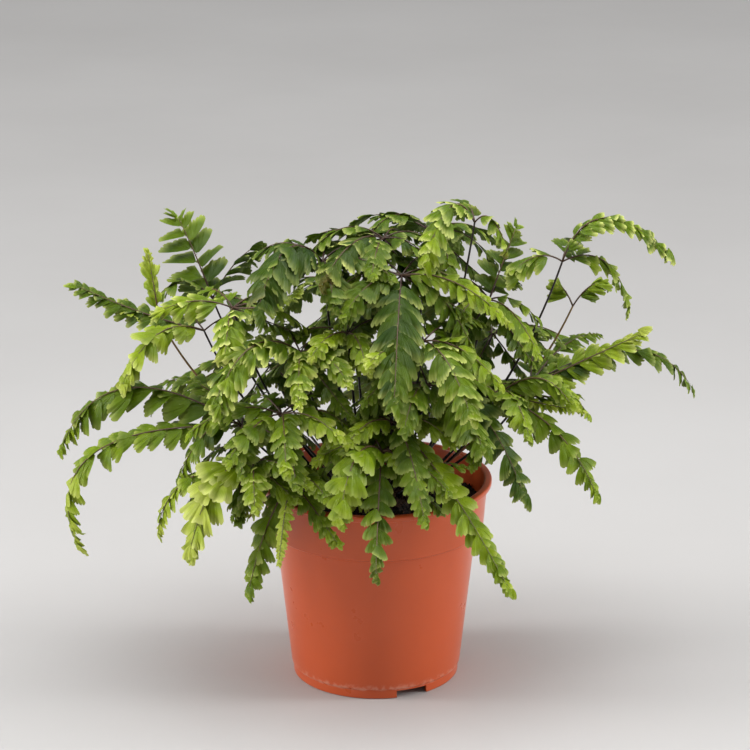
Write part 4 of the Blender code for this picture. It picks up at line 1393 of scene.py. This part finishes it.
class Nodes:
    """Short calls for one material's node tree."""

    def __init__(self, name):
        self.made = bpy.data.materials.new(name)
        self.made.use_nodes = True
        self.tree = self.made.node_tree
        self.shader = self.tree.nodes["Principled BSDF"]
        self.output = self.tree.nodes["Material Output"]

    def add(self, kind, inputs=(), **settings):
        node = self.tree.nodes.new(kind)
        for name, value in settings.items():
            setattr(node, name, value)
        for name, value in dict(inputs).items():
            self.set(node.inputs[name], value)
        return node

    def set(self, socket, value):
        if isinstance(value, bpy.types.NodeSocket):
            self.tree.links.new(value, socket)
        else:
            socket.default_value = value

    def shade(self, **inputs):
        for name, value in inputs.items():
            self.set(self.shader.inputs[name.replace("_", " ")], value)

    def calc(self, operation, *values, clamp=False):
        node = self.add("ShaderNodeMath", enumerate(values), operation=operation, use_clamp=clamp)
        return node.outputs[0]

    def vary(self, value, by, amount, middle=0.5):
        """The value, raised where by is above its middle and lowered where it is below."""
        return self.calc("ADD", value, self.calc("MULTIPLY", self.calc("SUBTRACT", by, middle), amount))

    def mix(self, share, first, second):
        return self.add("ShaderNodeMix", {0: share, 6: first, 7: second}, data_type="RGBA").outputs[2]

    def place(self, scale=(1, 1, 1)):
        place = self.add("ShaderNodeTexCoord").outputs["Object"]
        return self.add("ShaderNodeMapping", {"Vector": place, "Scale": scale}).outputs[0]

    def noise(self, scale, detail=3, vector=None, rough=0.5):
        vector = vector or self.add("ShaderNodeTexCoord").outputs["Object"]
        inputs = {"Vector": vector, "Scale": scale, "Detail": detail, "Roughness": rough}
        return self.add("ShaderNodeTexNoise", inputs).outputs["Fac"]

    def attribute(self, name, output="Fac"):
        return self.add("ShaderNodeAttribute", attribute_name=name).outputs[output]

    def parts(self, vector):
        return self.add("ShaderNodeSeparateXYZ", {0: vector}).outputs

    def ramp(self, share, *stops):
        node = self.add("ShaderNodeValToRGB", {"Fac": share})
        elements = node.color_ramp.elements
        elements[0].position, elements[0].color = stops[0][0], (*stops[0][1], 1)
        elements[1].position, elements[1].color = stops[-1][0], (*stops[-1][1], 1)
        for position, color in stops[1:-1]:
            elements.new(position).color = (*color, 1)
        return node.outputs[0]

    def above(self, value, low, high):
        """Black where the value is below low, and white where it is above high."""
        return self.ramp(value, (low, (0, 0, 0)), (high, (1, 1, 1)))

    def share(self, value, start, end):
        """0 where the value is at the start, 1 where it is at the end."""
        inputs = {"Value": value, "From Min": start, "From Max": end}
        return self.add("ShaderNodeMapRange", inputs).outputs[0]

    def spread(self, value, low, high):
        """The value, from 0 to 1, carried onto the range from low to high."""
        return self.add("ShaderNodeMapRange", {"Value": value, "To Min": low, "To Max": high}).outputs[0]

    def bump(self, height, strength, distance, normal=None):
        inputs = {"Height": height, "Strength": strength, "Distance": distance * MM}
        if normal:
            inputs["Normal"] = normal
        return self.add("ShaderNodeBump", inputs).outputs[0]


def leaf_material():
    """Glossy green, finely veined from the stalk outwards, with paler margins and a dull underside."""
    n = Nodes("leaf_green")
    turn, ring, seed = n.parts(n.attribute("lay", "Vector"))
    tone, pale, brown = n.parts(n.attribute("look", "Vector"))
    under = n.attribute("under")
    cloud = n.noise(90)
    wander = n.calc("MULTIPLY", cloud, 2)
    waves = n.calc("SINE", n.calc("MULTIPLY_ADD", turn, 2 * pi * VEINS_PER_LOBE * LOBES, wander))
    veins = n.calc("POWER", n.calc("MULTIPLY_ADD", waves, 0.5, 0.5), 2)
    shade = n.vary(tone, cloud, amount=0.5)
    shade = n.vary(shade, seed, amount=0.16)
    shade = n.vary(shade, ring, amount=0.08, middle=0.6)
    color = n.ramp(n.vary(shade, veins, amount=0.08, middle=0), *LEAF_RAMP)
    rim = n.calc("POWER", n.share(ring, MARGIN_START, 1.0), MARGIN_POWER)
    lit = n.calc("MULTIPLY", n.calc("MULTIPLY", rim, pale), n.spread(cloud, 0.5, 1.7), clamp=True)
    color = n.mix(lit, color, MARGIN_GREEN)
    withered = n.calc("MULTIPLY", brown, n.spread(rim, 0.35, 1.0), clamp=True)
    color = n.mix(withered, color, WITHERED_BROWN)
    color = n.mix(n.calc("MULTIPLY", under, UNDERSIDE_SHARE), color, UNDERSIDE_GREEN)
    rough = n.calc("MULTIPLY_ADD", n.noise(400, 2), 0.22, 0.21)
    rough = n.calc("MULTIPLY_ADD", under, 0.2, rough)
    relief = n.calc("ADD", n.calc("MULTIPLY", veins, 0.8), n.calc("MULTIPLY", n.noise(1500, 2), 0.35))
    normal = n.bump(relief, strength=0.6, distance=0.12)
    n.shade(Base_Color=color, Roughness=rough, Normal=normal, Specular_IOR_Level=LEAF_GLOSS)
    glow = n.mix(0.5, color, GLOWING_GREEN)
    through = n.add("ShaderNodeBsdfTranslucent", {"Color": glow, "Normal": normal})
    joined = n.add("ShaderNodeMixShader", {0: TRANSLUCENCE, 1: n.shader.outputs[0], 2: through.outputs[0]})
    n.set(n.output.inputs["Surface"], joined.outputs[0])
    return n.made


def rib_material():
    n = Nodes("rib_brown")
    shade = n.vary(n.attribute("tone"), n.noise(300, 2), amount=0.3)
    n.shade(Base_Color=n.ramp(shade, *RIB_RAMP), Roughness=n.spread(n.noise(900, 2), 0.35, 0.6))
    n.shade(Normal=n.bump(n.noise(1800, 2), strength=0.3, distance=0.1))
    return n.made


def stem_material():
    n = Nodes("stipe_black")
    shade = n.vary(n.attribute("tone"), n.noise(200), amount=0.1)
    n.shade(Base_Color=n.ramp(shade, *STIPE_RAMP), Roughness=n.spread(n.noise(700, 2), 0.18, 0.42))
    n.shade(Normal=n.bump(n.noise(1200), strength=0.25, distance=0.1))
    return n.made


def pot_material():
    """Moulded polypropylene: satin, faintly ringed and streaked, scuffed along its foot."""
    n = Nodes("terracotta_plastic")
    color = n.ramp(n.noise(18, 4), *TERRACOTTA_RAMP)
    marks = n.above(n.noise(240, 5, n.place((1, 1, 14)), rough=0.7), 0.66, 0.74)
    worn = n.calc("MULTIPLY", marks, n.above(n.noise(22, 2), 0.52, 0.66))
    height = n.parts(n.place())[2]
    foot = n.calc("MULTIPLY", n.share(height, *FOOT_SCUFF_Z), n.above(n.noise(300, 4), 0.45, 0.62))
    foot = n.calc("MULTIPLY", foot, n.share(height, *FOOT_EDGE_Z))
    scuff = n.calc("MAXIMUM", n.calc("MULTIPLY", worn, 0.30), n.calc("MULTIPLY", foot, 0.55), clamp=True)
    color = n.mix(scuff, color, SCUFF_PINK)
    rough = n.calc("ADD", n.spread(n.noise(60, 4), 0.24, 0.34), n.calc("MULTIPLY", scuff, 0.2))
    normal = n.bump(n.noise(1600, 2), strength=0.12, distance=0.05)
    rings = n.noise(120, 3, n.place((0.2, 0.2, 6)))
    normal = n.bump(rings, strength=0.10, distance=0.2, normal=normal)
    n.shade(Base_Color=color, Roughness=rough, Normal=normal, Specular_IOR_Level=POT_GLOSS)
    return n.made


def soil_material():
    n = Nodes("peat")
    grain = n.noise(900, 4, rough=0.7)
    n.shade(Base_Color=n.ramp(grain, *PEAT_RAMP), Roughness=n.spread(grain, 0.8, 1.0))
    n.shade(Normal=n.bump(grain, strength=0.9, distance=0.5))
    return n.made


def crumb_material(name, stops):
    n = Nodes(name)
    grain = n.noise(1400)
    shade = n.vary(n.attribute("tone"), grain, amount=0.4)
    n.shade(Base_Color=n.ramp(shade, *stops), Roughness=n.spread(grain, 0.7, 0.95))
    n.shade(Normal=n.bump(grain, strength=0.6, distance=0.3))
    return n.made


def crown_material():
    n = Nodes("rhizome_mat")
    grain = n.noise(700, 4, rough=0.65)
    n.shade(Base_Color=n.ramp(grain, *CROWN_RAMP), Roughness=n.spread(grain, 0.7, 0.95))
    n.shade(Normal=n.bump(grain, strength=0.9, distance=0.5))
    return n.made


def floor_material():
    n = Nodes("pale_floor")
    n.shade(Base_Color=n.ramp(n.noise(3), *FLOOR_RAMP), Roughness=n.spread(n.noise(40, 2), 0.6, 0.75))
    return n.made


# ---------------------------------------------------------------- stage, in metres

FLOOR_SIZE = 6
FLOOR_DROP = 0.0002
WORLD_COLOR = (0.90, 0.90, 0.91, 1)
WORLD_STRENGTH = 0.32
MIDDLE = (0, 0, 0.14)
CROWN = (0, -0.02, 0.2)

# Name, place, target, size and power in watts
LIGHTS = (
    ("left_softbox", (-2.4, -0.1, 0.88), MIDDLE, (0.66, 1.7), 46),
    ("right_softbox", (2.4, -0.1, 0.88), MIDDLE, (0.66, 1.7), 40),
    ("left_strip", (-1.15, -0.56, 0.50), MIDDLE, (0.07, 0.9), 1.4),
    ("right_strip", (1.15, -0.56, 0.50), MIDDLE, (0.07, 0.9), 1.4),
    ("front_top_softbox", (0.0, -0.20, 0.85), CROWN, (0.45, 0.45), 1.6),
    ("top_softbox", (0.0, 0.12, 0.80), CROWN, (0.45, 0.45), 1.5),
    ("overhead", (0.0, 0.3, 2.8), (0, 0.3, 0), (4.0, 4.0), 50),
)

CAMERA_TILT = 18.43
CAMERA_TARGET = Vector((0, 0, 0.1614))
CAMERA_DISTANCE = 1.7
CAMERA_LENS = 159.49
CAMERA_SENSOR = 36
CAMERA_SHIFT = -0.001
CAMERA_NEAREST = 0.05


def build_floor():
    bm = bmesh.new()
    bmesh.ops.create_grid(bm, x_segments=1, y_segments=1, size=FLOOR_SIZE)
    floor = new_object("floor", bm, floor_material())
    floor.location.z = -FLOOR_DROP


def light_scene():
    world = bpy.data.worlds.new("world")
    world.use_nodes = True
    background = world.node_tree.nodes["Background"]
    background.inputs["Color"].default_value = WORLD_COLOR
    background.inputs["Strength"].default_value = WORLD_STRENGTH
    bpy.context.scene.world = world
    for name, place, target, size, power in LIGHTS:
        data = bpy.data.lights.new(name, "AREA")
        data.shape = "RECTANGLE"
        data.size, data.size_y = size
        data.energy = power
        light = bpy.data.objects.new(name, data)
        light.location = place
        light.rotation_euler = (Vector(target) - Vector(place)).to_track_quat("-Z", "Y").to_euler()
        bpy.context.scene.collection.objects.link(light)


def add_camera():
    tilt = radians(CAMERA_TILT)
    data = bpy.data.cameras.new("camera")
    data.sensor_width = CAMERA_SENSOR
    data.lens = CAMERA_LENS
    data.shift_x = CAMERA_SHIFT
    data.clip_start = CAMERA_NEAREST
    camera = bpy.data.objects.new("camera", data)
    camera.location = CAMERA_TARGET + Vector((0, -cos(tilt), sin(tilt))) * CAMERA_DISTANCE
    camera.rotation_euler = (pi / 2 - tilt, 0, 0)
    bpy.context.scene.collection.objects.link(camera)
    bpy.context.scene.camera = camera


def main():
    build_pot(pot_material())
    build_root_ball()
    build_fronds(leaf_material(), rib_material(), stem_material())
    build_floor()
    light_scene()
    add_camera()
    bpy.context.scene.view_settings.view_transform = "Standard"


main()
